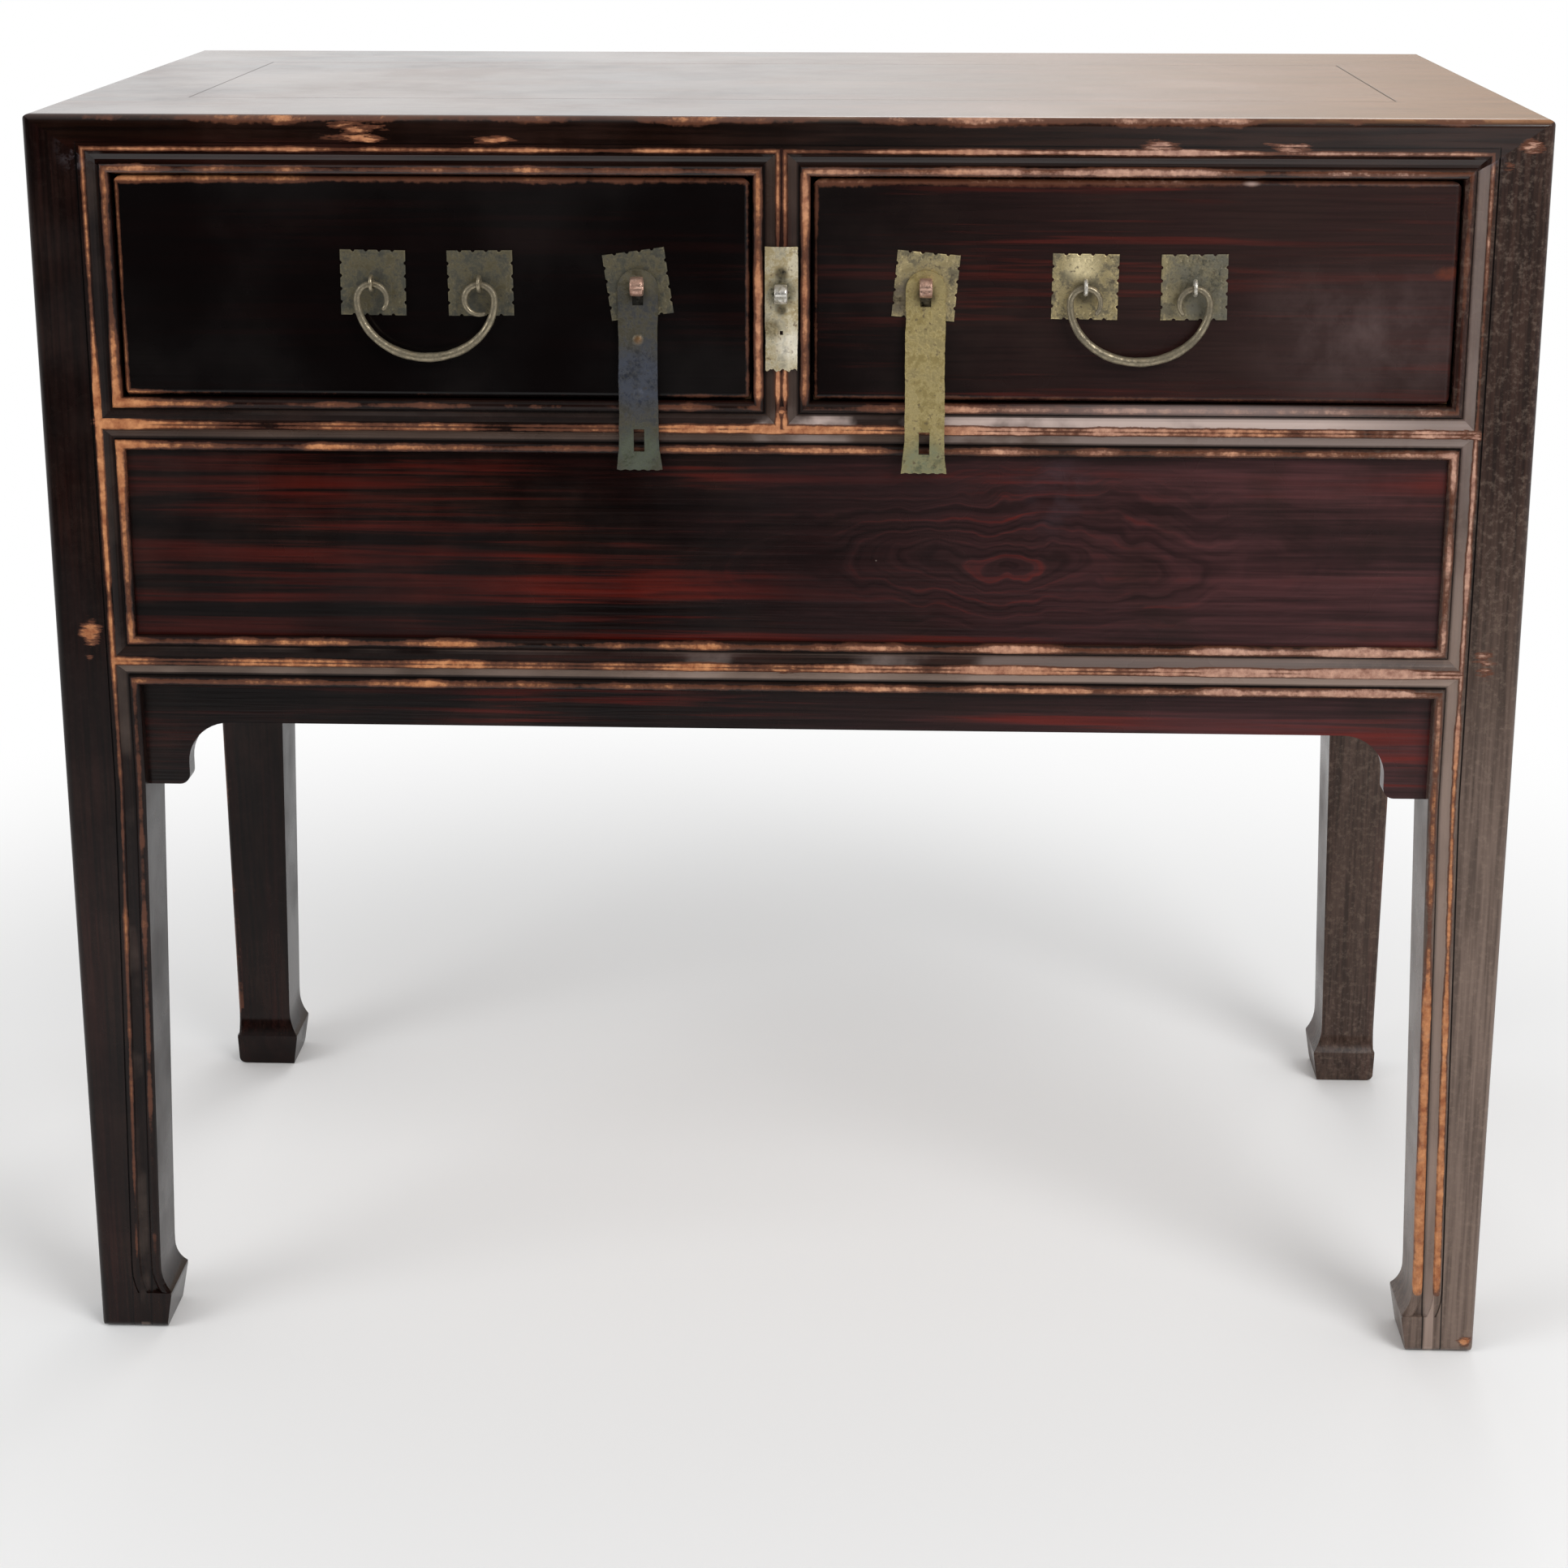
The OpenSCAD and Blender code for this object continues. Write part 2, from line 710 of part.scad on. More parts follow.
// Groove round the top boards, from the underside of their tongues up
module board_groove() {
    x = table_w / 2 - top_stile_w + groove_l + joint_gap;
    y0 = front_y + top_rail_w - groove_l - joint_gap;
    y1 = back_y - top_rail_w + groove_l + joint_gap;
    block([-x, y0, table_h - top_board_t - joint_gap],
        [x, y1, table_h - top_board_t + top_tongue_t + joint_gap]);
}

module top_frame_piece(face, width, back_off) {
    color(TOP_LACQUER) difference() {
        intersection() {
            on_face(face) translate([0, 0, head_z]) linear_extrude(frame_t)
                mitred_plan(face_w(face), width, back_off);
            envelope();
        }
        for (sx = [-1, 1], sy = [-1, 1]) at_corner(sx, sy) {
            leg_mitre();
            leg_tenons(joint_gap);
        }
        board_groove();
        batten_bars(groove_l + joint_gap, joint_gap);
        on_face(face) {
            if (face != "back") head_carving(face);
            if (face == "front") divider_joint(joint_gap);
            if (face != "front") panel_groove(half_open(face), sill_z, head_z);
        }
    }
}

// Battens, reaching into the rails by their tongues
module batten_bars(reach, gap) {
    z1 = table_h - top_board_t;
    for (sx = [-1, 1])
        block([sx * batten_x - batten_w / 2 - gap, front_y + top_rail_w - reach, z1 - batten_h],
            [sx * batten_x + batten_w / 2 + gap, back_y - top_rail_w + reach, z1]);
}

module top_battens() {
    color(BARE_WOOD) batten_bars(groove_l, 0);
}

// One of the two boards that fill the top frame
module top_board(sy) {
    x = table_w / 2 - top_stile_w;
    edge = sy < 0 ? front_y + top_rail_w : back_y - top_rail_w;
    z0 = table_h - top_board_t;
    y0 = min(edge - sy * shrink_gap, mid_y);
    y1 = max(edge - sy * shrink_gap, mid_y);
    color(TOP_LACQUER) {
        block([-x + shrink_gap, y0, z0], [x - shrink_gap, y1, table_h]);
        block([-x - groove_l, min(edge + sy * groove_l, mid_y), z0],
            [x + groove_l, max(edge + sy * groove_l, mid_y), z0 + top_tongue_t]);
    }
}

// Inside the carcase

module compartment_floor() {
    z0 = knee_head_z + floor_lift;
    x = table_w / 2 - rail_t + groove_l;
    color(BARE_WOOD) {
        block([-open_out, front_y + rail_t - groove_l, z0],
            [open_out, back_y - rail_t + groove_l, z0 + floor_t]);
        block([-x, front_y + leg_w, z0], [x, back_y - leg_w, z0 + floor_t]);
    }
}

// Tongues by which the three runners sit in the front and back rails
module runner_tongues(gap) {
    z = sill_z - runner_t / 2;
    for (bar = [
        [-open_out + over, -box_out + side_t + runner_lip],
        [-box_in - side_t - runner_lip, box_in + side_t + runner_lip],
        [box_out - side_t - runner_lip, open_out - over]
    ])
        block([bar[0] - gap, front_y + rail_t - groove_l - gap, z - runner_tongue_t / 2 - gap],
            [bar[1] + gap, back_y - rail_t + groove_l + gap, z + runner_tongue_t / 2 + gap]);
}

module side_runner(sx) {
    x_rail = table_w / 2 - rail_t;
    x_lip = box_out - side_t - runner_lip;
    color(BARE_WOOD) mirror([sx < 0 ? 1 : 0, 0, 0]) {
        difference() {
            union() {
                block([x_lip, front_y + rail_t, sill_z - runner_t], [x_rail, back_y - rail_t, sill_z]);
                block([box_out + guide_gap, front_y + rail_t, sill_z],
                    [x_rail, back_y - rail_t, sill_z + guide_h]);
            }
            for (y = [front_y, back_y - leg_w])
                block([open_out, y - over, sill_z - 2 * runner_t], [table_w / 2, y + leg_w + over, head_z]);
        }
        intersection() {
            runner_tongues(0);
            block([x_lip - over, front_y, sill_z - runner_t], [x_rail, back_y, sill_z]);
        }
    }
}

module centre_runner() {
    x_lip = box_in + side_t + runner_lip;
    x_guide = box_in - guide_gap;
    color(BARE_WOOD) {
        block([-x_lip, front_y + rail_t, sill_z - runner_t], [x_lip, back_y - rail_t, sill_z]);
        block([-x_guide, front_y + rail_t, sill_z], [x_guide, back_y - rail_t, sill_z + guide_h]);
        intersection() {
            runner_tongues(0);
            block([-x_lip - over, front_y, sill_z - runner_t], [x_lip + over, back_y, sill_z]);
        }
    }
}

// Drawers, drawn for the right-hand opening and mirrored for the left one

module for_drawer(sx) {
    mirror([sx < 0 ? 1 : 0, 0, 0]) translate([0, front_y, 0]) children();
}

// Side of a drawer box, between two places in X
module box_side(x0, x1, gap = 0) {
    block([x0 - gap, drawer_set + front_t - lap_l - gap, box_z - gap],
        [x1 + gap, drawer_set + drawer_l, box_z + side_h + gap]);
}

// The bottom board, with a gap when it is cut as a groove
module box_bottom(gap) {
    z0 = box_z + bottom_lift;
    block([box_in + side_t - bottom_groove - gap, drawer_set + front_t - bottom_groove - gap, z0 - gap],
        [box_out - side_t + bottom_groove + gap, drawer_set + drawer_l, z0 + bottom_t + gap]);
}

module drawer_front(sx) {
    x0 = open_in + drawer_gap;
    w = open_out - open_in - 2 * drawer_gap;
    z0 = sill_z + drawer_gap;
    h = drawer_open_h - 2 * drawer_gap;
    color(LACQUER) for_drawer(sx) difference() {
        intersection() {
            upright(drawer_set, drawer_set + front_t)
                translate([x0, z0]) soft_square([w, h], front_corner_r);
            translate([x0, drawer_set, z0 - over]) linear_extrude(h + 2 * over)
                soft_square([w, 2 * front_t], front_edge_r);
            translate([x0 - over, drawer_set, z0]) rotate([90, 0, 90]) linear_extrude(w + 2 * over)
                soft_square([2 * front_t, h], front_edge_r);
        }
        box_side(box_in, box_in + side_t, joint_gap);
        box_side(box_out - side_t, box_out, joint_gap);
        box_bottom(joint_gap);
        for (end = [-1, 1]) staple_hole(bail_x + end * pull_span / 2, pull_z + eye_lift, eye_wire_r);
        staple_hole(hasp_x, pull_z, neck_r);
    }
}

module drawer_side(sx, outer) {
    color(BARE_WOOD) for_drawer(sx) difference() {
        if (outer) box_side(box_out - side_t, box_out);
        else box_side(box_in, box_in + side_t);
        box_bottom(joint_gap);
        drawer_back_block(joint_gap);
    }
}

// The back stands on the bottom and is housed in the sides
module drawer_back_block(gap) {
    z0 = box_z + bottom_lift + bottom_t + joint_gap;
    block([box_in + side_t - bottom_groove - gap, drawer_set + drawer_l - 2 * side_t - gap, z0],
        [box_out - side_t + bottom_groove + gap, drawer_set + drawer_l - side_t + gap, z0 + back_h + gap]);
}

module drawer_back(sx) {
    color(BARE_WOOD) for_drawer(sx) drawer_back_block(0);
}

module drawer_bottom(sx) {
    color(BARE_WOOD) for_drawer(sx) box_bottom(0);
}

// Brass

// Square plate with a row of notches along each edge
module notched_plate(w, h) {
    difference() {
        translate([-w / 2, -h / 2]) square([w, h]);
        for (i = [-1.5 : 1.5], end = [-1, 1]) {
            translate([i * w / 5, end * h / 2]) circle(notch_r);
            translate([end * w / 2, i * h / 5]) circle(notch_r);
        }
    }
}

// Clinched ends of a staple, flat against the back of what it passes
module clinch(x, z, y, r) {
    block([x - r, y, z - clinch_l], [x + r, y + clinch_t, z + clinch_l]);
}

module bail_plates(sx) {
    color(sx < 0 ? OLD_BRASS : BRIGHT_BRASS) for_drawer(sx)
        for (end = [-1, 1]) difference() {
            upright(-plate_out, drawer_set)
                translate([bail_x + end * pull_span / 2, pull_z]) notched_plate(plate_w, plate_w);
            staple_hole(bail_x + end * pull_span / 2, pull_z + eye_lift, eye_wire_r);
        }
}

// Ring on a shank, through which a bail's wire passes
module bail_eyes(sx) {
    z = pull_z + eye_lift;
    back = drawer_set + front_t;
    color(sx < 0 ? OLD_BRASS : BRIGHT_BRASS) for_drawer(sx)
        for (end = [-1, 1]) translate([bail_x + end * pull_span / 2, 0, z]) {
            translate([0, -eye_out, 0]) rotate([0, 90, 0]) rotate_extrude()
                translate([eye_ring_r, 0]) circle(eye_wire_r);
            translate([0, eye_ring_r - eye_out, 0]) rotate([-90, 0, 0])
                cylinder(h = eye_out - eye_ring_r + back + clinch_t, r = eye_wire_r);
            clinch(0, 0, back, eye_wire_r);
        }
}

// Points on the bail's middle line from the left tip to the right one, each with the wire's radius
scroll_steps = 12;
grip_steps = 28;
grip_a = pull_span / 2 + scroll_r;
grip_b = bail_drop - scroll_r;
function left_scroll() = [for (i = [0 : scroll_steps - 1])
    let (a = 90 - scroll_turn + i * (90 + scroll_turn) / scroll_steps)
    [-pull_span / 2 + scroll_r * cos(a), scroll_r * sin(a) - scroll_r,
        tip_r + (wire_r - tip_r) * min(1, 2 * i / scroll_steps)]];
function grip() = [for (i = [0 : grip_steps])
    let (a = 180 * i / grip_steps)
    [-grip_a * cos(a), -scroll_r - grip_b * sin(a), wire_r + (grip_r - wire_r) * sin(a)]];
function reversed(p) = [for (i = [len(p) - 1 : -1 : 0]) p[i]];
bail_path = concat(left_scroll(), grip(), [for (p = reversed(left_scroll())) [-p.x, p.y, p.z]]);

// Round wire along a path of [x, z, radius] points
module wire(path, sides = 12) {
    last = len(path) - 1;
    points = [for (i = [0 : last])
        let (
            along = path[min(i + 1, last)] - path[max(i - 1, 0)],
            across = [-along.y, along.x] / norm([along.x, along.y])
        )
        for (k = [0 : sides - 1]) let (a = 360 * k / sides, r = path[i].z)
            [path[i].x + r * cos(a) * across.x, r * sin(a), path[i].y + r * cos(a) * across.y]];
    faces = concat(
        [for (i = [0 : last - 1], k = [0 : sides - 1]) let (m = (k + 1) % sides)
            each [[i * sides + k, i * sides + m, (i + 1) * sides + k],
                [i * sides + m, (i + 1) * sides + m, (i + 1) * sides + k]]],
        [for (k = [1 : sides - 2]) [0, k + 1, k]],
        [for (k = [1 : sides - 2]) [last * sides, last * sides + k, last * sides + k + 1]]
    );
    polyhedron(points, faces);
}

module bail(sx) {
    color(sx < 0 ? OLD_BRASS : BRIGHT_BRASS) for_drawer(sx) translate([bail_x, -eye_out, pull_z]) {
        wire(bail_path);
        for (end = [-1, 1]) translate([end * pull_span / 2 - wire_r / 2, 0, 0])
            rotate([0, 90, 0]) cylinder(h = wire_r, r = wire_r);
    }
}

module hasp_plate(sx) {
    tilt = sx < 0 ? -hasp_tilt_left : hasp_tilt_right;
    color(sx < 0 ? OLD_BRASS : BRIGHT_BRASS) for_drawer(sx) difference() {
        upright(-plate_out, drawer_set)
            translate([hasp_x, pull_z]) rotate(tilt) notched_plate(hasp_plate_w, hasp_plate_h);
        staple_hole(hasp_x, pull_z, neck_r);
    }
}

// Staple with a rolled eye; its neck ends in clinched legs at depth back
module lug_staple(out, back) {
    difference() {
        union() {
            translate([-lug_w / 2, -out, 0]) rotate([0, 90, 0]) cylinder(h = lug_w, r = lug_r);
            translate([0, -out, 0]) rotate([-90, 0, 0]) cylinder(h = out + back + clinch_t, r = neck_r);
            clinch(0, 0, back, neck_r);
        }
        translate([-lug_w / 2 - over, -out, 0]) rotate([0, 90, 0])
            cylinder(h = lug_w + 2 * over, r = lug_bore_r);
    }
}

module hasp_staple(sx) {
    color(sx < 0 ? OLD_BRASS : BRIGHT_BRASS) for_drawer(sx)
        translate([hasp_x, 0, pull_z]) lug_staple(hasp_eye_out, drawer_set + front_t);
}

// Front view of a strap, its pivot at the origin
module strap_outline() {
    slot_r = neck_r + strap_play;
    flare_z = strap_foot_z + strap_foot_w / 4;
    flare_x = (strap_w + strap_foot_w) / 4;
    difference() {
        union() {
            translate([0, strap_head - strap_w / 2]) circle(strap_w / 2);
            polygon([
                [-strap_w / 2, strap_head - strap_w / 2], [-flare_x, flare_z],
                [-strap_foot_w / 2, strap_foot_z], [strap_foot_w / 2, strap_foot_z],
                [flare_x, flare_z], [strap_w / 2, strap_head - strap_w / 2]
            ]);
        }
        circle(slot_r);
        translate([-slot_r, -strap_slack]) square([2 * slot_r, strap_slack]);
        translate([-slot_r, strap_slot_z - lock_slot_h / 2]) square([2 * slot_r, lock_slot_h]);
    }
}

// Distance of a hanging strap's back in front of the frame's face, at a height below its pivot
function strap_out(z, hang) = strap_back_out
    + (hang - strap_back_out) * max(0, min(1, (strap_bend_z - z) / (strap_bend_z - strap_hang_z)));

// Side view of a strap: X is the distance in front of the frame's face, Y the height
module strap_bends(hang) {
    zs = [strap_head + over, strap_bend_z, strap_hang_z, strap_foot_z - over];
    polygon(concat(
        [for (z = zs) [strap_out(z, hang), z]],
        [for (i = [3 : -1 : 0]) [strap_out(zs[i], hang) + strap_t, zs[i]]]
    ));
}

module hasp_strap(sx) {
    hang = sx < 0 ? left_hang : right_hang;
    color(sx < 0 ? OLD_BRASS : BRIGHT_BRASS) for_drawer(sx) translate([hasp_x, 0, pull_z]) {
        intersection() {
            upright(-strap_foot_w, strap_foot_w) strap_outline();
            translate([-strap_foot_w, 0, 0]) rotate([90, 0, 90]) linear_extrude(2 * strap_foot_w)
                mirror([1, 0]) strap_bends(hang);
        }
        if (sx < 0)
            for (z = [boss_z, 2 * boss_z]) strap_boss(strap_out(z, hang) + strap_t, z);
    }
}

// Small raised boss, the cap of a ball
module strap_boss(out, z) {
    ball_r = (pow(boss_r, 2) + pow(boss_h, 2)) / (2 * boss_h);
    intersection() {
        translate([0, ball_r - out - boss_h, z]) sphere(ball_r);
        translate([0, -out - boss_h - over, z]) rotate([-90, 0, 0])
            cylinder(h = boss_h + over + strap_t / 2, r = boss_r);
    }
}

// Plate bent over the divider's ridge
module lock_plate() {
    half = lock_plate_w / 2;
    flat = open_in - ridge_t;
    drop = 1.8;
    color(PALE_BRASS) on_face("front") difference() {
        translate([0, 0, pull_z - lock_plate_drop - lock_plate_h / 2]) linear_extrude(lock_plate_h)
            polygon([
                [-half, drop], [-flat, 0], [flat, 0], [half, drop],
                [half, drop - plate_t], [flat, -plate_t], [-flat, -plate_t], [-half, drop - plate_t]
            ]);
        staple_hole(0, pull_z - lock_drop, neck_r);
    }
}

module lock_staple() {
    color(PALE_BRASS) on_face("front") translate([0, 0, pull_z - lock_drop])
        lug_staple(lock_eye_out, rail_t);
}

top_frame_piece("front", top_rail_w, top_stile_w);  // top_front_rail
top_frame_piece("back", top_rail_w, top_stile_w);  // top_back_rail
top_frame_piece("left", top_stile_w, top_rail_w);  // top_left_stile
top_frame_piece("right", top_stile_w, top_rail_w);  // top_right_stile
top_board(-1);  // top_front_board
top_board(1);  // top_back_board
top_battens();
leg(-1, -1);  // front_left_leg
leg(1, -1);  // front_right_leg
leg(-1, 1);  // back_left_leg
leg(1, 1);  // back_right_leg
mid_rail("front");  // front_mid_rail
bottom_rail("front");  // front_bottom_rail
drawer_divider();
panel("front", panel_sill_z, panel_head_z);  // front_panel
apron("front");  // front_apron
mid_rail("left");  // left_mid_rail
bottom_rail("left");  // left_bottom_rail
panel("left", sill_z, head_z);  // left_upper_panel
panel("left", panel_sill_z, panel_head_z);  // left_lower_panel
apron("left");  // left_apron
mid_rail("right");  // right_mid_rail
bottom_rail("right");  // right_bottom_rail
panel("right", sill_z, head_z);  // right_upper_panel
panel("right", panel_sill_z, panel_head_z);  // right_lower_panel
apron("right");  // right_apron
mid_rail("back");  // back_mid_rail
bottom_rail("back");  // back_bottom_rail
panel("back", sill_z, head_z);  // back_upper_panel
panel("back", panel_sill_z, panel_head_z);  // back_lower_panel
apron("back");  // back_apron
compartment_floor();
side_runner(-1);  // left_runner
centre_runner();
side_runner(1);  // right_runner
drawer_front(-1);  // left_drawer_front
drawer_side(-1, true);  // left_drawer_left_side
drawer_side(-1, false);  // left_drawer_right_side
drawer_back(-1);  // left_drawer_back
drawer_bottom(-1);  // left_drawer_bottom
drawer_front(1);  // right_drawer_front
drawer_side(1, false);  // right_drawer_left_side
drawer_side(1, true);  // right_drawer_right_side
drawer_back(1);  // right_drawer_back
drawer_bottom(1);  // right_drawer_bottom
bail_plates(-1);  // left_bail_plates
bail_eyes(-1);  // left_bail_eyes
bail(-1);  // left_bail
bail_plates(1);  // right_bail_plates
bail_eyes(1);  // right_bail_eyes
bail(1);  // right_bail
hasp_plate(-1);  // left_hasp_plate
hasp_staple(-1);  // left_hasp_staple
hasp_strap(-1);  // left_hasp_strap
hasp_plate(1);  // right_hasp_plate
hasp_staple(1);  // right_hasp_staple
hasp_strap(1);  // right_hasp_strap
lock_plate();
lock_staple();
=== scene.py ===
# %% [markdown]
# # A lacquered side table
#
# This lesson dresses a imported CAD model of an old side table: an elm frame under dark lacquer,
# rubbed through to the wood on every raised edge, with worn brass bails, hasps and a lock plate.

# %% Load the frame
from functools import partial

import bpy
import numpy as np
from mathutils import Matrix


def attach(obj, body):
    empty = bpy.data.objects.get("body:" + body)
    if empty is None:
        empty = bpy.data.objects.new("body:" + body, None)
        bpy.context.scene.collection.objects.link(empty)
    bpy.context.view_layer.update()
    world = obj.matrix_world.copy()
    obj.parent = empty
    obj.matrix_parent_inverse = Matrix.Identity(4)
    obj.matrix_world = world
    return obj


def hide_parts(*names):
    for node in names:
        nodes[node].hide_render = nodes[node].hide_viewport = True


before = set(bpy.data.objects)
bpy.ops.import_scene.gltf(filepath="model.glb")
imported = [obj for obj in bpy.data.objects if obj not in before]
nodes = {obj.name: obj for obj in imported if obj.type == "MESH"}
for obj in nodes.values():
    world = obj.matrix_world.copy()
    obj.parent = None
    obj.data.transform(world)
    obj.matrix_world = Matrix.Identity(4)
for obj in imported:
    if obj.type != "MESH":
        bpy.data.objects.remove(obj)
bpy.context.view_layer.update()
MM = 0.001
FRONT_Y, BACK_Y = -0.2374, 0.2526
MID_Y = (FRONT_Y + BACK_Y) / 2

# %% [markdown]
# ## Camera
#
# The photograph was taken with the camera nearly level and the picture plane shifted a long way
# down. A small shift keeps the other views whole, so the camera here looks down a little and
# stands a little further away. Its place was fitted to the table's eight outer corners.

# %% Camera
camera_data = bpy.data.cameras.new("studio_camera")
camera = bpy.data.objects.new("studio_camera", camera_data)
bpy.context.scene.collection.objects.link(camera)
camera.location = (0.0707, -2.0545, 1.0272)
camera.rotation_euler = (np.pi / 2 - 0.265, 0, 0.038)
camera_data.sensor_width = 36
camera_data.lens = 67.1
camera_data.shift_y = -0.12
bpy.context.scene.camera = camera
bpy.context.scene.view_settings.view_transform = "Standard"
print("camera", np.round(list(camera.location), 3).tolist(), "lens", camera_data.lens)

# %% [markdown]
# ## Small helpers
#
# Colours are written the way a picture editor shows them, and one function turns them linear,
# which is what a shader wants. A second one adds a node with its settings and links, and
# new_material() binds it to a tree as add(), so that a material reads like a recipe. Most
# finishes are coats of colour over each other, each covering only where a pattern says, so
# coated() lays them in turn.

# %% Colours and nodes
SMOOTH = {"interpolation_type": "SMOOTHSTEP"}


def linear(code):
    """sRGB hex to linear: c / 12.92 up to 0.04045, else ((c + 0.055) / 1.055) to the power 2.4."""
    c = np.array([int(code[i : i + 2], 16) for i in (1, 3, 5)]) / 255
    c = np.where(c <= 0.04045, c / 12.92, ((c + 0.055) / 1.055) ** 2.4)
    return (*c.tolist(), 1.0)


def add_node(tree, kind, *values, out=0, **settings):
    """Add one node of a kind, which its operation may follow. Values fill its inputs in turn or
    as (input, value) pairs. Settings with a capital are inputs by name, the others the node's own
    properties. A value that is another node's output becomes a link."""
    kind, _, operation = kind.partition(" ")
    node = tree.nodes.new("ShaderNode" + kind)
    if operation:
        node.operation = operation.upper()
    paired = [isinstance(value, tuple) and len(value) == 2 for value in values]
    filled = [value if p else (i, value) for i, (p, value) in enumerate(zip(paired, values))]
    for key, value in settings.items():
        if key[0].isupper():
            filled.append((key.replace("_", " "), value))
        else:
            setattr(node, key, value)
    for key, value in filled:
        if isinstance(value, bpy.types.NodeSocket):
            tree.links.new(value, node.inputs[key])
        else:
            node.inputs[key].default_value = value
    return node.outputs[out] if len(node.outputs) else node


def new_material(name):
    """An empty material, the add() that puts a node in its tree, and its object coordinates."""
    material = bpy.data.materials.new(name)
    material.use_nodes = True
    material.node_tree.nodes.clear()
    add = partial(add_node, material.node_tree)
    return material, add, add("TexCoord", out="Object")


def finish_material(add, **surface):
    """One principled shader from named inputs, joined to the output."""
    add("OutputMaterial", add("BsdfPrincipled", **surface))


print("#8a5030 in linear light:", np.round(linear("#8a5030"), 3).tolist())

# %% Coats and patterns
def coated(add, colour, *coats):
    """Coats laid over a colour in turn, each given as (how far it covers, its colour)."""
    for cover, coat in coats:
        under, over = [linear(c) if isinstance(c, str) else c for c in (colour, coat)]
        colour = add("Mix", (0, cover), (6, under), (7, over), out=2, data_type="RGBA")
    return colour


def shaded(add, colour, figure, low, high, darkest):
    """The colour times darkest where a figure is at low, rising to times 1 at high."""
    share = add("MapRange", figure, low, high, darkest, 1.0)
    multiply = {"data_type": "RGBA", "blend_type": "MULTIPLY"}
    return add("Mix", (0, 1.0), (6, colour), (7, share), out=2, **multiply)


def clouds(add, place, scale, span, ease={}, **noise):
    """Noise of a scale, its span from a first to a second value turned into 0 to 1, or into the
    third to the fourth, straight or eased at both ends."""
    found = add("TexNoise", Vector=place, Scale=scale, **noise)
    return add("MapRange", found, *span, **ease)


def apart(add, value, centre):
    """How far a value lies from a centre, on either side."""
    return add("Math absolute", add("Math subtract", value, centre))


print("patterns share", [f.__name__ for f in (coated, shaded, clouds, apart)])

# %% [markdown]
# ## Studio
#
# A white table-top sweep is the plainest setting. The floor stays a matt surface near the table,
# so it keeps the shadow, and turns to the white of the background further out. The world is white
# to the camera. What the lacquer mirrors is a soft room: bright behind the table and overhead,
# dim in front, because dark lacquer only looks dark where it faces something dark. Towards the
# right the room's back is dimmer and warmer. For mirrored rays the paper ends in front of the
# table too, and the room's floor beyond it is dark at the left and pale at the right.

# %% World
world = bpy.data.worlds.new("soft_room")
bpy.context.scene.world = world
world.use_nodes = True
world.node_tree.nodes.clear()
add = partial(add_node, world.node_tree)
ways = add("SeparateXYZ", add("TexCoord", out="Generated")).node
way_x, way_y, way_z = ways.outputs
rays = add("LightPath").node.outputs
AMBIENT = 0.62
behind = add("MapRange", way_y, -0.35, 0.55, **SMOOTH)
overhead = add("MapRange", way_z, 0.35, 0.95, 0.0, 0.55, **SMOOTH)
to_right = add("MapRange", way_x, -0.1, 0.30, 1.0, 0.62, **SMOOTH)
room = add("Math maximum", add("Math multiply", behind, to_right), overhead)
room = add("MapRange", room, 0.0, 1.0, 0.06, 1.0)
level = add("Mix", (0, rays["Is Glossy Ray"]), (2, AMBIENT), (3, room))
plain = add("Math maximum", rays["Is Camera Ray"], rays["Is Transmission Ray"])
level = add("Mix", (0, plain), (2, level), (3, 1.0))
warmth = add("MapRange", way_x, -0.1, 0.30, **SMOOTH)
warmth = add("Math multiply", warmth, rays["Is Glossy Ray"])
tint = coated(add, "#ffffff", (warmth, "#f2dcc6"))
add("OutputWorld", add("Background", tint, level))
print("world light", AMBIENT)

# %% Floor
def sheet_points(xs, ys, z):
    """Grid of points over xs and ys at one height."""
    x, y = np.meshgrid(xs, ys, indexing="ij")
    return np.stack([x, y, np.full_like(x, z)], -1).reshape(-1, 3)


def grid_quads(rows, columns, round_rows=False, round_columns=False):
    """Corner numbers of a grid's quads: each joins a point to the next along, diagonal and
    across, and a round direction joins its last line to its first."""
    i, j = np.meshgrid(
        np.arange(rows - (not round_rows)), np.arange(columns - (not round_columns)), indexing="ij"
    )
    down, right = (i + 1) % rows, (j + 1) % columns
    corners = [i * columns + j, i * columns + right, down * columns + right, down * columns + j]
    return np.stack(corners, -1).reshape(-1, 4)


FLOOR_HALF, FLOOR_STEPS, FLOOR_Z = 14.0, 9, -0.5 * MM
floor_mesh = bpy.data.meshes.new("floor")
steps = np.linspace(-FLOOR_HALF, FLOOR_HALF, FLOOR_STEPS)
floor_mesh.from_pydata(sheet_points(steps, steps, FLOOR_Z).tolist(), [],
                       grid_quads(FLOOR_STEPS, FLOOR_STEPS)[:, ::-1].tolist())
floor = bpy.data.objects.new("floor", floor_mesh)
bpy.context.scene.collection.objects.link(floor)

floor_paint, add, place = new_material("matt_white_paper_sweep")
far = add("VectorMath length", place, out="Value")
far = add("MapRange", far, 0.55, 1.4, **SMOOTH)
rays = add("LightPath").node.outputs
shown = add("Math maximum", rays["Is Camera Ray"], rays["Is Glossy Ray"])
shown = add("Math maximum", shown, rays["Is Transmission Ray"])
ground = add("SeparateXYZ", place).node.outputs
paper_end = add("MapRange", ground[1], -1.2, -2.2, **SMOOTH)
paper_end = add("Math multiply", paper_end, rays["Is Glossy Ray"])
room_floor = add("MapRange", ground[0], -0.2, 1.8, 0.02, 0.85)
glow = add("Mix", (0, paper_end), (2, 1.0), (3, room_floor))
paper = add("BsdfDiffuse", linear("#f4f4f4"))
white = add("Emission", linear("#ffffff"), glow)
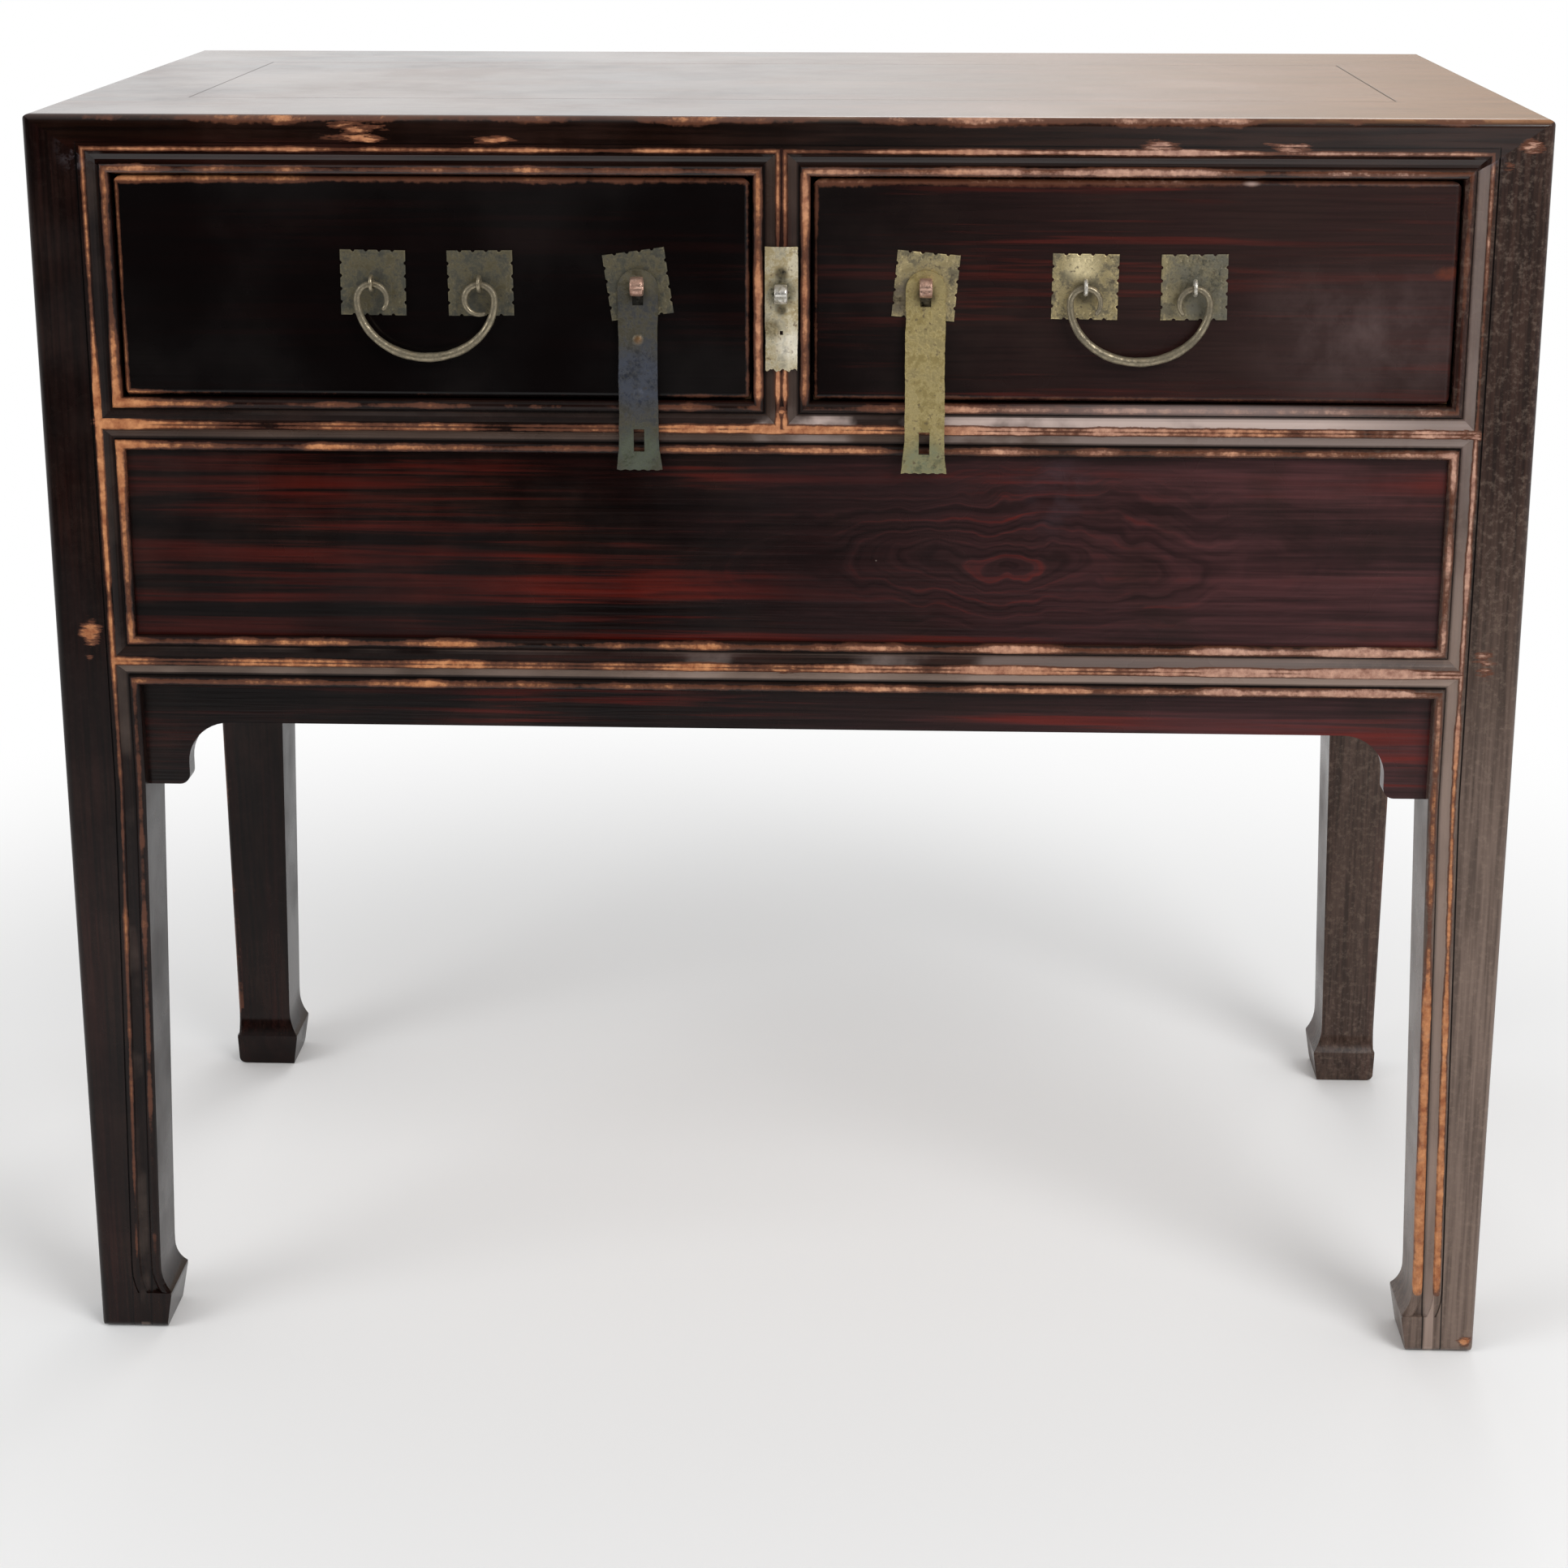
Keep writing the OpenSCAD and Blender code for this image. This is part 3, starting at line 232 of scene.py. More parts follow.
add("OutputMaterial", add("MixShader", add("Math multiply", far, shown), paper, white))
floor_mesh.materials.append(floor_paint)
print("floor", 2 * FLOOR_HALF, "m across")

# %% Lamps
def soft_lamp(name, place, aim, size, power):
    """Area lamp of a size in metres at a place, turned so that its face looks at aim."""
    data = bpy.data.lights.new(name, "AREA")
    data.shape, data.size, data.energy = "DISK", size, power
    lamp = bpy.data.objects.new(name, data)
    bpy.context.scene.collection.objects.link(lamp)
    way = np.array(aim, float) - np.array(place, float)
    way /= np.linalg.norm(way)
    lamp.location = place
    lamp.rotation_euler = (np.arccos(-way[2]), 0, np.arctan2(way[1], way[0]) - np.pi / 2)


soft_lamp("key_lamp", (1.9, -2.4, 2.5), (0, 0, 0.5), 1.8, 58)
soft_lamp("fill_lamp", (-2.3, -1.6, 1.7), (0, 0, 0.5), 1.6, 20)
soft_lamp("back_lamp", (0.4, 2.6, 2.3), (0, 0, 0.6), 1.6, 22)
print("three lamps")

# %% [markdown]
# ## Where the mouldings run
#
# Each opening of the frame has the same moulding round it: a bead at its edge, a cove, a raised
# ridge and a scratched line. Hands and dusters rub the bead and the ridge first. So the finish is
# told, at any point of the frame, how far it lies outside the nearest opening: 0 at the opening's
# edge, about 3 mm on the bead, 16 mm on the ridge. Painting this by hand would do for one table.
# Working it out from the place means it fits every rail and leg with no seams.

# %% Distance from the nearest opening
SIDE_FROM = FRONT_Y + 6 * MM
FRONT_HALF, SIDE_HALF = 0.422, 0.192
DRAWER_X, DRAWER_HALF = 0.220, 0.202
UPPER, LOWER = (0.7315, 0.0715), (0.564, 0.062)
ARCH_Z, KNEE_Z, TAPER = 0.468, 0.397, 0.0275
SIDE_X, SKIN = 0.475, 5 * MM


def moulding_distance(add, x, y, z):
    """Largest of the distances past an opening's two pairs of sides, and of those the smallest
    over the openings of a face: drawers or upper panel, lower panel, and the space between the
    legs, which widens below the knee as the legs taper."""
    on_side = add("Math greater_than", y, SIDE_FROM)
    inward = add("Math subtract", y, MID_Y)
    along = add("Math absolute", add("Mix", (0, on_side), (2, x), (3, inward)))
    half = add("Math multiply_add", on_side, SIDE_HALF - FRONT_HALF, FRONT_HALF)
    past_end = add("Math subtract", along, half)
    past_drawer = add("Math subtract", apart(add, along, DRAWER_X), DRAWER_HALF)
    past_upper = add("Mix", (0, on_side), (2, past_drawer), (3, past_end))
    taper = add("Math maximum", add("Math subtract", KNEE_Z, z), 0.0)
    past_leg = add("Math subtract", past_end, add("Math multiply", taper, TAPER))
    found = add("Math maximum", past_leg, add("Math subtract", z, ARCH_Z))
    for (middle, half_height), past_side in ((UPPER, past_upper), (LOWER, past_end)):
        past_level = add("Math subtract", apart(add, z, middle), half_height)
        found = add("Math minimum", found, add("Math maximum", past_side, past_level))
    return found


def outer_skin(add, x, y):
    """1 within 5 mm of the front or of a side face, else 0: hidden faces aren't rubbed."""
    at_front = add("Math less_than", y, FRONT_Y + SKIN)
    at_side = add("Math greater_than", add("Math absolute", x), SIDE_X - SKIN)
    return add("Math maximum", at_front, at_side)


def spot(add, place, centre, radius, stretch=(1, 1, 1)):
    """1 at a centre, falling to 0 at a radius, in metres; stretch lengthens it along the axes."""
    moved = add("VectorMath add", place, [-c for c in centre])
    moved = add("VectorMath multiply", moved, [1 / s for s in stretch])
    gone = add("VectorMath length", moved, out="Value")
    return add("MapRange", gone, radius, 0.0, **SMOOTH)


print("side faces start at y", SIDE_FROM)

# %% [markdown]
# ## Lacquer on elm
#
# The lacquer is a thin, dark, glossy film of tree sap. It lets a little of the wood's red grain
# through, is near black on the left and browner on the right, and where it is rubbed off the elm
# shows orange, dull and a little lower. Its lighter colour on the right is partly painted
# reflection of the light on that side. The same recipe serves legs, rails and panels. Only the
# way of the grain differs, so that is the recipe's argument. GLOSS weakens the film's mirror, so
# that dark lacquer stays dark in a bright room.

# %% Grain under lacquer
FIGURE, PORES, PORE_LENGTH, CELLS = 55, 420, 12.0, 34.0


def grain(add, place, along, coarse=FIGURE, fine=PORES, length=1.0):
    """Noise stretched tenfold or more along the board: (coarse figure, fine pores), each 0 to
    1."""
    stretch = [length if axis == along else coarse for axis in "xyz"]
    pores = [PORE_LENGTH if axis == along else fine for axis in "xyz"]
    drawn = add("VectorMath multiply", place, stretch)
    pored = add("VectorMath multiply", place, pores)
    figure = add("TexNoise", Vector=drawn, Scale=1.0, Detail=5.0, Roughness=0.6, Distortion=0.5)
    pore = add("TexNoise", Vector=pored, Scale=1.0)
    return figure, pore


def lacquer_film(add, place, x, figure, pore, left, right, red, redness, depth=0.45):
    """Film colour: left's colour to right's across the table, in clouds of more and less brown,
    with red where the figure is strong. The right's lighter colour is partly painted reflection."""
    # Painted reflection: across lightens the film towards the right, where the light falls
    across = add("MapRange", x, -0.15, 0.42, **SMOOTH)
    broad = clouds(add, place, 9.0, (0.44, 0.66, 0.0, 0.55), SMOOTH, Detail=5.0, Roughness=0.65)
    cloud = clouds(add, place, 4.5, (0.38, 0.60, 0.15, 1.0), SMOOTH, Detail=3.0)
    streak = add("MapRange", figure, 0.50, 0.66, 0.0, redness, **SMOOTH)
    streak = add("Math multiply", streak, cloud)
    streak = add("Math multiply", streak, add("MapRange", x, -0.40, -0.05, 0.35, 1.0))
    film = coated(add, left, (across, right), (broad, "#2a1a15"), (streak, red))
    return shaded(add, film, pore, 0.36, 0.60, depth)


def flecks(add, place, size, share):
    """Small pale chips: points of a cell pattern about 30 mm apart, a share of them kept."""
    cells = add("TexVoronoi", Vector=place, Scale=CELLS).node.outputs
    near = add("MapRange", cells["Distance"], size * CELLS, size * CELLS / 2)
    kept = add("Math less_than", add("SeparateXYZ", cells["Color"]), share)
    return add("Math multiply", near, kept)


print("grain figure about", round(1000 / FIGURE), "mm wide, pores", round(1000 / PORES, 1), "mm")

# %% Rubbed edges
WORN = ("#8a5030", "#c08458")
# Pale pink elm for the right: partly its colour, partly a painted highlight of the light there.
WORN_PALE_AND_LIT = ("#866459", "#c09c8c")
THINNED = "#583526"
CONTRAST, PATCH_MEAN, CRUMBLE = 2.1, 1.05, 0.6
THIN_FROM, THIN_TO, BARE_FROM, BARE_TO = 0.28, 0.62, 0.70, 1.15


def rubbed(add, place, profile, bias, unevenness=1.0):
    """How far rubbing has gone: the profile of a raised edge, 0 to 1, plus noise in patches of
    some 150, 40 and 4 mm, plus a bias, and 0 where the profile is."""
    long_patch = add("TexNoise", Vector=place, Scale=6.5, Detail=1.0)
    patch = add("TexNoise", Vector=place, Scale=24.0, Detail=5.0, Roughness=0.6)
    crumb = add("TexNoise", Vector=place, Scale=260.0, Detail=3.0, Roughness=0.7)
    patch = add("Math multiply_add", long_patch, 1.1, patch)
    contrast = CONTRAST * unevenness
    patch = add("Math multiply_add", patch, contrast, -PATCH_MEAN * contrast)
    crumb = add("Math multiply_add", crumb, CRUMBLE, -CRUMBLE / 2)
    value = add("Math add", add("Math add", patch, crumb), bias)
    value = add("Math add", value, profile)
    on_edge = add("Math greater_than", profile, 0.02)
    return add("Math multiply", value, on_edge)


def rubbed_colour(add, place, x, film, value):
    """Film, then thinned brown film, then bare elm, as the rubbing grows. Elm is orange on the
    left and greyer and pinker to the right, partly as a painted highlight of the light from that
    side, and darker low down at the left, in fine stripes. Gives the colour and how bare it is."""
    stripe = clouds(add, place, 130.0, (0.35, 0.65), Detail=4.0, Roughness=0.7)
    warm, pale = [coated(add, dark, (stripe, light)) for dark, light in (WORN, WORN_PALE_AND_LIT)]
    z = add("SeparateXYZ", place, out=2)
    broad = add("TexNoise", Vector=place, Scale=6.0)
    shift = add("Math multiply_add", broad, 1.2, -0.6)
    shift = add("Math add", add("Math add", shift, x), -0.05)
    # Paler, pinker elm towards the right: partly painted highlight of the light from that side.
    paler_and_lit = add("MapRange", shift, -0.15, 0.35, 0.0, 0.75, **SMOOTH)
    above = add("MapRange", z, 0.40, 0.48, **SMOOTH)
    paler_and_lit = add("Math multiply", paler_and_lit, above)
    low_left = add("MapRange", add("Math add", z, x), 0.10, -0.10, 0.0, 0.55)
    wood = coated(add, warm, (paler_and_lit, pale), (low_left, "#6b4128"))
    thin = add("MapRange", value, THIN_FROM, THIN_TO, 0.0, 0.9, **SMOOTH)
    bare = add("MapRange", value, BARE_FROM, BARE_TO, **SMOOTH)
    return coated(add, film, (thin, THINNED), (bare, wood)), bare


print("worn colours", WORN, WORN_PALE_AND_LIT)

# %% Scrapes, dust and painted sheen
BEAD_T, RIDGE_T, BEAD_REACH, RIDGE_REACH = 3.3 * MM, 15.8 * MM, 3.6 * MM, 2.5 * MM
QUIRK_T, LINE_T, COVE_TO = 7.0 * MM, 19.6 * MM, 14.2 * MM
SCRAPES = (
    ((-0.265, FRONT_Y, 0.829), 0.048, (1, 1, 0.34)),
    ((-0.180, FRONT_Y, 0.825), 0.034, (1, 1, 0.24)),
    ((0.232, FRONT_Y, 0.823), 0.034, (1, 1, 0.22)),
    ((0.317, FRONT_Y, 0.822), 0.040, (1, 1, 0.20)),
    ((0.003, FRONT_Y, 0.483), 0.034, (1, 1, 0.24)),
    ((-0.4515, FRONT_Y, 0.505), 0.018, (0.9, 1, 1.4)),
    ((-0.4535, FRONT_Y, 0.487), 0.009, (1, 1, 0.7)),
    ((0.453, FRONT_Y, 0.492), 0.018, (1, 1, 1.5)),
    ((0.4305, FRONT_Y, 0.644), 0.007, (1, 1, 1.2)),
    ((0.462, FRONT_Y, 0.824), 0.020, (1.0, 1, 0.6)),
    ((0.448, FRONT_Y, 0.812), 0.012, (1.0, 1, 0.6)),
    ((0.469, FRONT_Y, 0.008), 0.012, (1, 1, 1)),
    ((-0.440, FRONT_Y, 0.645), 0.010, (1, 1, 0.6)),
    ((0.438, FRONT_Y, 0.643), 0.012, (1, 1, 0.6)),
    ((0.0, FRONT_Y, 0.655), 0.010, (0.8, 1, 1.0)),
    ((-0.4755, 0.05, 0.825), 0.050, (1, 1, 0.20)),
    ((0.4755, -0.08, 0.820), 0.045, (1, 1, 0.20)),
)
KEPT = (
    ((0.0, FRONT_Y, 0.657), 0.009, (14, 1, 1), 0.75),
    ((0.22, FRONT_Y, 0.8195), 0.008, (26, 1, 1), 0.50),
    ((0.0, FRONT_Y, 0.735), 0.010, (1, 1, 8), 0.55),
)


def raised_edges(add, t):
    """0.8 on the bead and 1 by the ridge's inner arris, falling straight to 0 at the reach of
    each."""
    bead = add("MapRange", apart(add, t, BEAD_T), BEAD_REACH, 0.8 * MM, 0.0, 0.80)
    ridge = add("MapRange", apart(add, t, RIDGE_T), RIDGE_REACH, 0.4 * MM)
    return add("Math maximum", bead, ridge)


def scraped(add, place, value, lowest=0.0):
    """The larger of a rubbing value and those of the scrapes above a height, each broken up by
    streaks about 20 mm long and 4 mm high."""
    drawn = add("VectorMath multiply", place, (45.0, 45.0, 230.0))
    streak = add("TexNoise", Vector=drawn, Scale=1.0, Detail=5.0, Roughness=0.7)
    streak = add("Math multiply_add", streak, 4.2, -3.1)
    for centre, radius, stretch in SCRAPES:
        if centre[2] > lowest:
            scrape = spot(add, place, centre, radius, stretch)
            scrape = add("Math add", add("Math multiply", scrape, 2.0), streak)
            value = add("Math maximum", value, scrape)
    return value


def cove_dust_and_sheen(add, place, x, z, film, cove):
    """Film with dust and painted sheen in the coves, where cove is 1. What looks down holds
    brown-grey dust all along. What looks up is polished black at the left and pale at the right,
    less low down: dust with a painted sheen of the light on that side."""
    tilt = add("SeparateXYZ", add("TexCoord", out="Normal"), out=2)
    up = add("MapRange", tilt, 0.08, 0.35)
    down = add("MapRange", tilt, -0.08, -0.35)
    cloud = add("TexNoise", Vector=place, Scale=14.0, Detail=5.0)
    level = add("Math multiply_add", x, 0.55, cloud)
    sideways = add("MapRange", level, 0.22, 0.80, 0.0, 0.70)
    low = add("MapRange", level, 0.12, 0.60, 0.20, 0.90)
    low = add("Math multiply", low, add("MapRange", z, 0.70, 0.80, 1.0, 0.45))
    across = add("MapRange", level, 0.49, 0.64, **SMOOTH)
    high = add("Math multiply", across, add("MapRange", z, 0.60, 0.63, 0.24, 0.95))
    high = add("Math multiply", high, add("MapRange", x, 0.34, 0.41, 1.0, 0.5))
    amount = add("Mix", (0, down), (2, sideways), (3, low))
    amount = add("Mix", (0, up), (2, amount), (3, high))
    by_floor = add("MapRange", z, 0.60, 0.50, 0.0, 0.7)
    # Pale colours where coves face up at the right: dust and a painted sheen of the light.
    dust_and_sheen = coated(add, "#5c4a40", (across, "#8d7d76"), (by_floor, "#a38d80"), (up, "#b8a59d"))
    return coated(add, film, (add("Math multiply", amount, cove), dust_and_sheen))


print(len(SCRAPES), "scrapes and", len(KEPT), "places where the film is kept")

# %% Lacquered frame
GLOSS = 0.22


def lacquered_frame(name, along, left, right):
    """Frame finish with grain along one axis: film, rubbed beads and ridges, scrapes, quirks
    painted dark with dirt and shade."""
    material, add, place = new_material(name)
    x, y, z = add("SeparateXYZ", place).node.outputs
    figure, pore = grain(add, place, along)
    film = lacquer_film(add, place, x, figure, pore, left, right, "#3c1410", 0.5)
    t = moulding_distance(add, x, y, z)
    skin = outer_skin(add, x, y)
    # Lighter low on the right leg: worn film and a painted reflection of the light on that side.
    faded_and_sheen = add("MapRange", z, 0.66, 0.26, **SMOOTH)
    faded_and_sheen = add("Math multiply", faded_and_sheen, add("MapRange", y, -0.10, -0.18, 0.25, 1.0))
    faded_and_sheen = add("Math multiply", faded_and_sheen, add("MapRange", x, 0.40, 0.44, 0.0, 0.95))
    uneven = add("MapRange", add("Math add", figure, pore), 0.80, 1.15, 0.45, 1.0)
    faded_and_sheen = add("Math multiply", faded_and_sheen, uneven)
    film = coated(add, film, (faded_and_sheen, "#75645a"))
    cove = add("MapRange", t, 7.4 * MM, 9.2 * MM)
    cove = add("Math multiply", cove, add("Math less_than", t, COVE_TO))
    film = cove_dust_and_sheen(add, place, x, z, film, add("Math multiply", cove, skin))
    profile = add("Math multiply", raised_edges(add, t), skin)
    profile = add("Math multiply", profile, add("MapRange", z, 0.042, 0.060))
    bias = add("Math multiply_add", add("Math greater_than", y, SIDE_FROM), -0.25, 0.05)
    low_right = add("MapRange", add("Math subtract", x, z), 0.02, 0.20, 0.0, 0.30)
    bias = add("Math add", bias, low_right)
    for centre, radius, stretch, share in KEPT:
        bias = add("Math multiply_add", spot(add, place, centre, radius, stretch), -share, bias)
    value = scraped(add, place, rubbed(add, place, profile, bias))
    colour, bare = rubbed_colour(add, place, x, film, value)
    powder = add("Math multiply", spot(add, place, (0.27, FRONT_Y, 0.657), 0.009, (20, 1, 1)), 0.7)
    mottle = clouds(add, place, 210.0, (0.50, 0.75, 0.0, 0.4), Detail=6.0, Roughness=0.75)
    mottle = add("Math multiply", mottle, add("MapRange", x, 0.30, 0.45, 0.04, 1.0))
    scuff = spot(add, place, (-0.440, FRONT_Y, 0.818), 0.022, (0.8, 1, 1.0))
    scuff = add("Math maximum", scuff, spot(add, place, (0.436, FRONT_Y, 0.815), 0.020))
    scratches = clouds(add, place, 70.0, (0.45, 0.62, 0.0, 0.6), Detail=6.0, Roughness=0.75)
    scuff = add("Math multiply", scratches, scuff)
    chips = flecks(add, place, 0.9 * MM, 0.14)
    # Quirk and scratched line painted near black: dirt and painted shade in the grooves.
    quirk_dirt_and_shade = add("Math minimum", apart(add, t, QUIRK_T), apart(add, t, LINE_T))
    quirk_dirt_and_shade = add("MapRange", quirk_dirt_and_shade, 0.7 * MM, 0.3 * MM, 0.0, 0.85)
    quirk_dirt_and_shade = add("Math multiply", quirk_dirt_and_shade, skin)
    colour = coated(add, colour, (powder, "#857875"), (mottle, "#8d7a6c"), (scuff, "#666166"),
                    (chips, "#8a7466"), (quirk_dirt_and_shade, "#080505"))
    dull = add("Math maximum", bare, quirk_dirt_and_shade)
    polish = clouds(add, place, 11.0, (0.35, 0.65, 0.18, 0.42), Detail=5.0)
    rough = add("Mix", (0, dull), (2, polish), (3, 0.55))
    height = add("Math multiply_add", bare, -0.35, add("Math multiply", pore, 0.25))
    bump = add("Bump", Strength=0.5, Distance=0.35 * MM, Height=height)
    finish_material(add, Base_Color=colour, Roughness=rough, Normal=bump, IOR=1.5,
                    Specular_IOR_Level=GLOSS)
    return material


# The right colours are lighter partly as painted reflection of the light on that side.
leg_lacquer = lacquered_frame("lacquered_elm_upright", "z", "#150806", "#36251e")
rail_lacquer = lacquered_frame("lacquered_elm_front_rail", "x", "#150805", "#332019")
side_lacquer = lacquered_frame("lacquered_elm_side_rail", "y", "#0f0807", "#2a1d18")
print("frame finishes with", len(leg_lacquer.node_tree.nodes), "nodes each")

# %% [markdown]
# ## Panels, aprons and drawer fronts
#
# The flat boards keep their lacquer best. Red grain glows through the lower panel and the right
# drawer. The left drawer is near black, and only its rounded edge is rubbed.

# %% Lacquered boards
def lacquered_board(name, along, left, right, red, redness, coarse=120, length=3.0):
    """Board finish with no moulding: film with broad and fine red figure, a painted reflection and
    a few chips.
    """
    material, add, place = new_material(name)
    x = add("SeparateXYZ", place)
    broad, pore = grain(add, place, along, coarse / 3, length=length / 2)
    thread = grain(add, place, along, coarse * 1.5, length=length * 1.5)[0]
    figure = add("Math multiply_add", broad, 0.65, add("Math multiply", thread, 0.35))
    figure = add("MapRange", figure, 0.38, 0.62, 0.34, 0.68)
    warp = add("TexNoise", Vector=place, Scale=16.0, Detail=3.0, out="Color")
    warp = add("VectorMath subtract", warp, (0.5, 0.5, 0.5))
    warp = add("VectorMath multiply", warp, (0.10, 0.0, 0.045))
    ring = add("VectorMath add", add("VectorMath add", place, warp), (-0.15, 0.0, -0.555))
    ring = add("VectorMath multiply", ring, (0.19, 0.0, 1.0))
    ring = add("VectorMath length", ring, out="Value")
    ring = add("CombineXYZ", add("Math multiply", ring, 260.0), x)
    ring = add("TexNoise", Vector=ring, Scale=1.0, Detail=3.0)
    oval = add("Math multiply", spot(add, place, (0.15, FRONT_Y, 0.563), 0.085, (3.2, 1, 1)), 0.85)
    figure = add("Mix", (0, oval), (2, figure), (3, ring))
    film = lacquer_film(add, place, x, figure, pore, left, right, red, redness, 0.72)
    film = shaded(add, film, figure, 0.40, 0.56, 0.42)
    # Painted reflection: a soft grey smear of light on the lower panel.
    painted_reflection = spot(add, place, (0.175, FRONT_Y, 0.604), 0.045, (0.8, 1, 1.0))
    reflection_noise = add("TexNoise", Vector=place, Scale=60.0, Detail=5.0, Distortion=0.3)
    painted_reflection = add("Math multiply", painted_reflection, add("MapRange", reflection_noise, 0.40, 0.75, 0.0, 0.16))
    chips = flecks(add, place, 0.7 * MM, 0.08)
    colour = coated(add, film, (painted_reflection, "#5d5560"), (chips, "#6f625c"))
    rough = clouds(add, place, 7.0, (0.35, 0.65, 0.16, 0.40), Detail=4.0)
    bump = add("Bump", Strength=0.35, Distance=0.25 * MM, Height=pore)
    finish_material(add, Base_Color=colour, Roughness=rough, Normal=bump, IOR=1.5,
                    Specular_IOR_Level=GLOSS)
    return material


BOARD_HALF, BOARD_FOOT, BOARD_TOP = 0.2008, 0.6612, 0.8018


def drawer_lacquer():
    """Board finish whose rim is rubbed: the rim is where the distance in from the face's nearest
    edge is under the edge's rounding, most of all along the upper edge."""
    material, add, place = new_material("lacquered_elm_drawer_front")
    x, y, z = add("SeparateXYZ", place).node.outputs
    broad, pore = grain(add, place, "x", 40, length=1.5)
    thread = grain(add, place, "x", 260, length=6.0)[0]
    figure = add("Math multiply", add("Math add", broad, thread), 0.5)
    figure = add("MapRange", figure, 0.40, 0.60, 0.36, 0.66)
    # The right colour is lighter partly as painted reflection of the light on that side.
    film = lacquer_film(add, place, x, figure, pore, "#080404", "#2b1816", "#4e1a13", 0.7, 0.72)
    # Painted reflection: a pale haze of light on the right drawer.
    painted_sheen = spot(add, place, (0.365, FRONT_Y, 0.708), 0.10, (1.0, 1, 0.6))
    sheen_noise = add("TexNoise", Vector=place, Scale=22.0, Detail=5.0, Roughness=0.6)
    painted_sheen = add("Math multiply", painted_sheen, add("MapRange", sheen_noise, 0.40, 0.62, 0.25, 0.9))
    leftness = add("MapRange", x, -0.05, 0.20, 0.9, 0.0, **SMOOTH)
    film = coated(add, film, (painted_sheen, "#524240"), (leftness, "#080505"))
    in_x = add("Math subtract", BOARD_HALF, apart(add, add("Math absolute", x), DRAWER_X))
    from_top = add("Math subtract", BOARD_TOP, z)
    from_foot = add("Math subtract", z, BOARD_FOOT)
    inset = add("Math minimum", add("Math minimum", in_x, from_foot), from_top)
    rim = add("MapRange", apart(add, inset, 2.4 * MM), 2.6 * MM, 0.2 * MM)
    upper = add("MapRange", from_top, 7.0 * MM, 2.2 * MM)
    upper = add("Math multiply", upper, add("MapRange", x, -0.42, -0.10, 1.12, 0.66))
    rim = add("Math multiply", rim, add("MapRange", x, -0.42, -0.38, 0.88, 0.5))
    profile = add("Math maximum", rim, upper)
    profile = add("Math multiply", profile, add("Math less_than", y, FRONT_Y + 10 * MM))
    value = rubbed(add, place, profile, -0.06, 0.5)
    colour, bare = rubbed_colour(add, place, x, film, value)
    glow = spot(add, place, (0.414, FRONT_Y, 0.744), 0.016, (1.0, 1, 0.7))
    glow = add("MapRange", rubbed(add, place, glow, 0.0), 0.1, 1.0, 0.0, 0.75)
    chip = spot(add, place, (0.291, FRONT_Y + 3 * MM, 0.8000), 0.0045, (1.6, 1, 0.6))
    chips = flecks(add, place, 0.8 * MM, 0.12)
    colour = coated(add, colour, (glow, "#7a3a20"), (chip, "#b39a90"), (chips, "#6f6660"))
    polish = clouds(add, place, 9.0, (0.35, 0.65, 0.16, 0.38), Detail=4.0)
    rough = add("Mix", (0, bare), (2, polish), (3, 0.55))
    bump = add("Bump", Strength=0.35, Distance=0.25 * MM, Height=pore)
    finish_material(add, Base_Color=colour, Roughness=rough, Normal=bump, IOR=1.5,
                    Specular_IOR_Level=GLOSS)
    return material


# The right colours are lighter partly as painted reflection of the light on that side.
front_board = lacquered_board("lacquered_elm_panel", "x", "#120807", "#4a2a2b", "#66190f", 0.7)
side_board = lacquered_board("lacquered_elm_end_panel", "y", "#110a0a", "#2a1a18", "#42140f", 0.5)
drawer_board = drawer_lacquer()
print("board finishes:", front_board.name, side_board.name, drawer_board.name)

# %% [markdown]
# ## The top
#
# The top is rubbed by everything that stood on it. Its film is thin and brown, so the grain
# shows, and it still has its gloss: seen this low it mirrors the white room more than it shows
# its colour. The joints of rails, stiles and boards show as dark lines, sharp at the right and
# faint elsewhere.

# %% Rubbed top
STILE_X, RAIL_HALF, MITRE_SLOPE = 0.395, 0.135, 110 / 80
EDGE_FROM, EDGE_TO, RIDGE_TO = 0.8330, 0.8385, 0.8375
FILM_FROM, FILM_TO, FLAT_FROM = 0.8365, 0.8395, 0.8396


def dark_line(add, off, width, strength):
    """A strength within a width of where off is 0, fading over the same width again."""
    return add("MapRange", add("Math absolute", off), 2 * width, width, 0.0, strength)


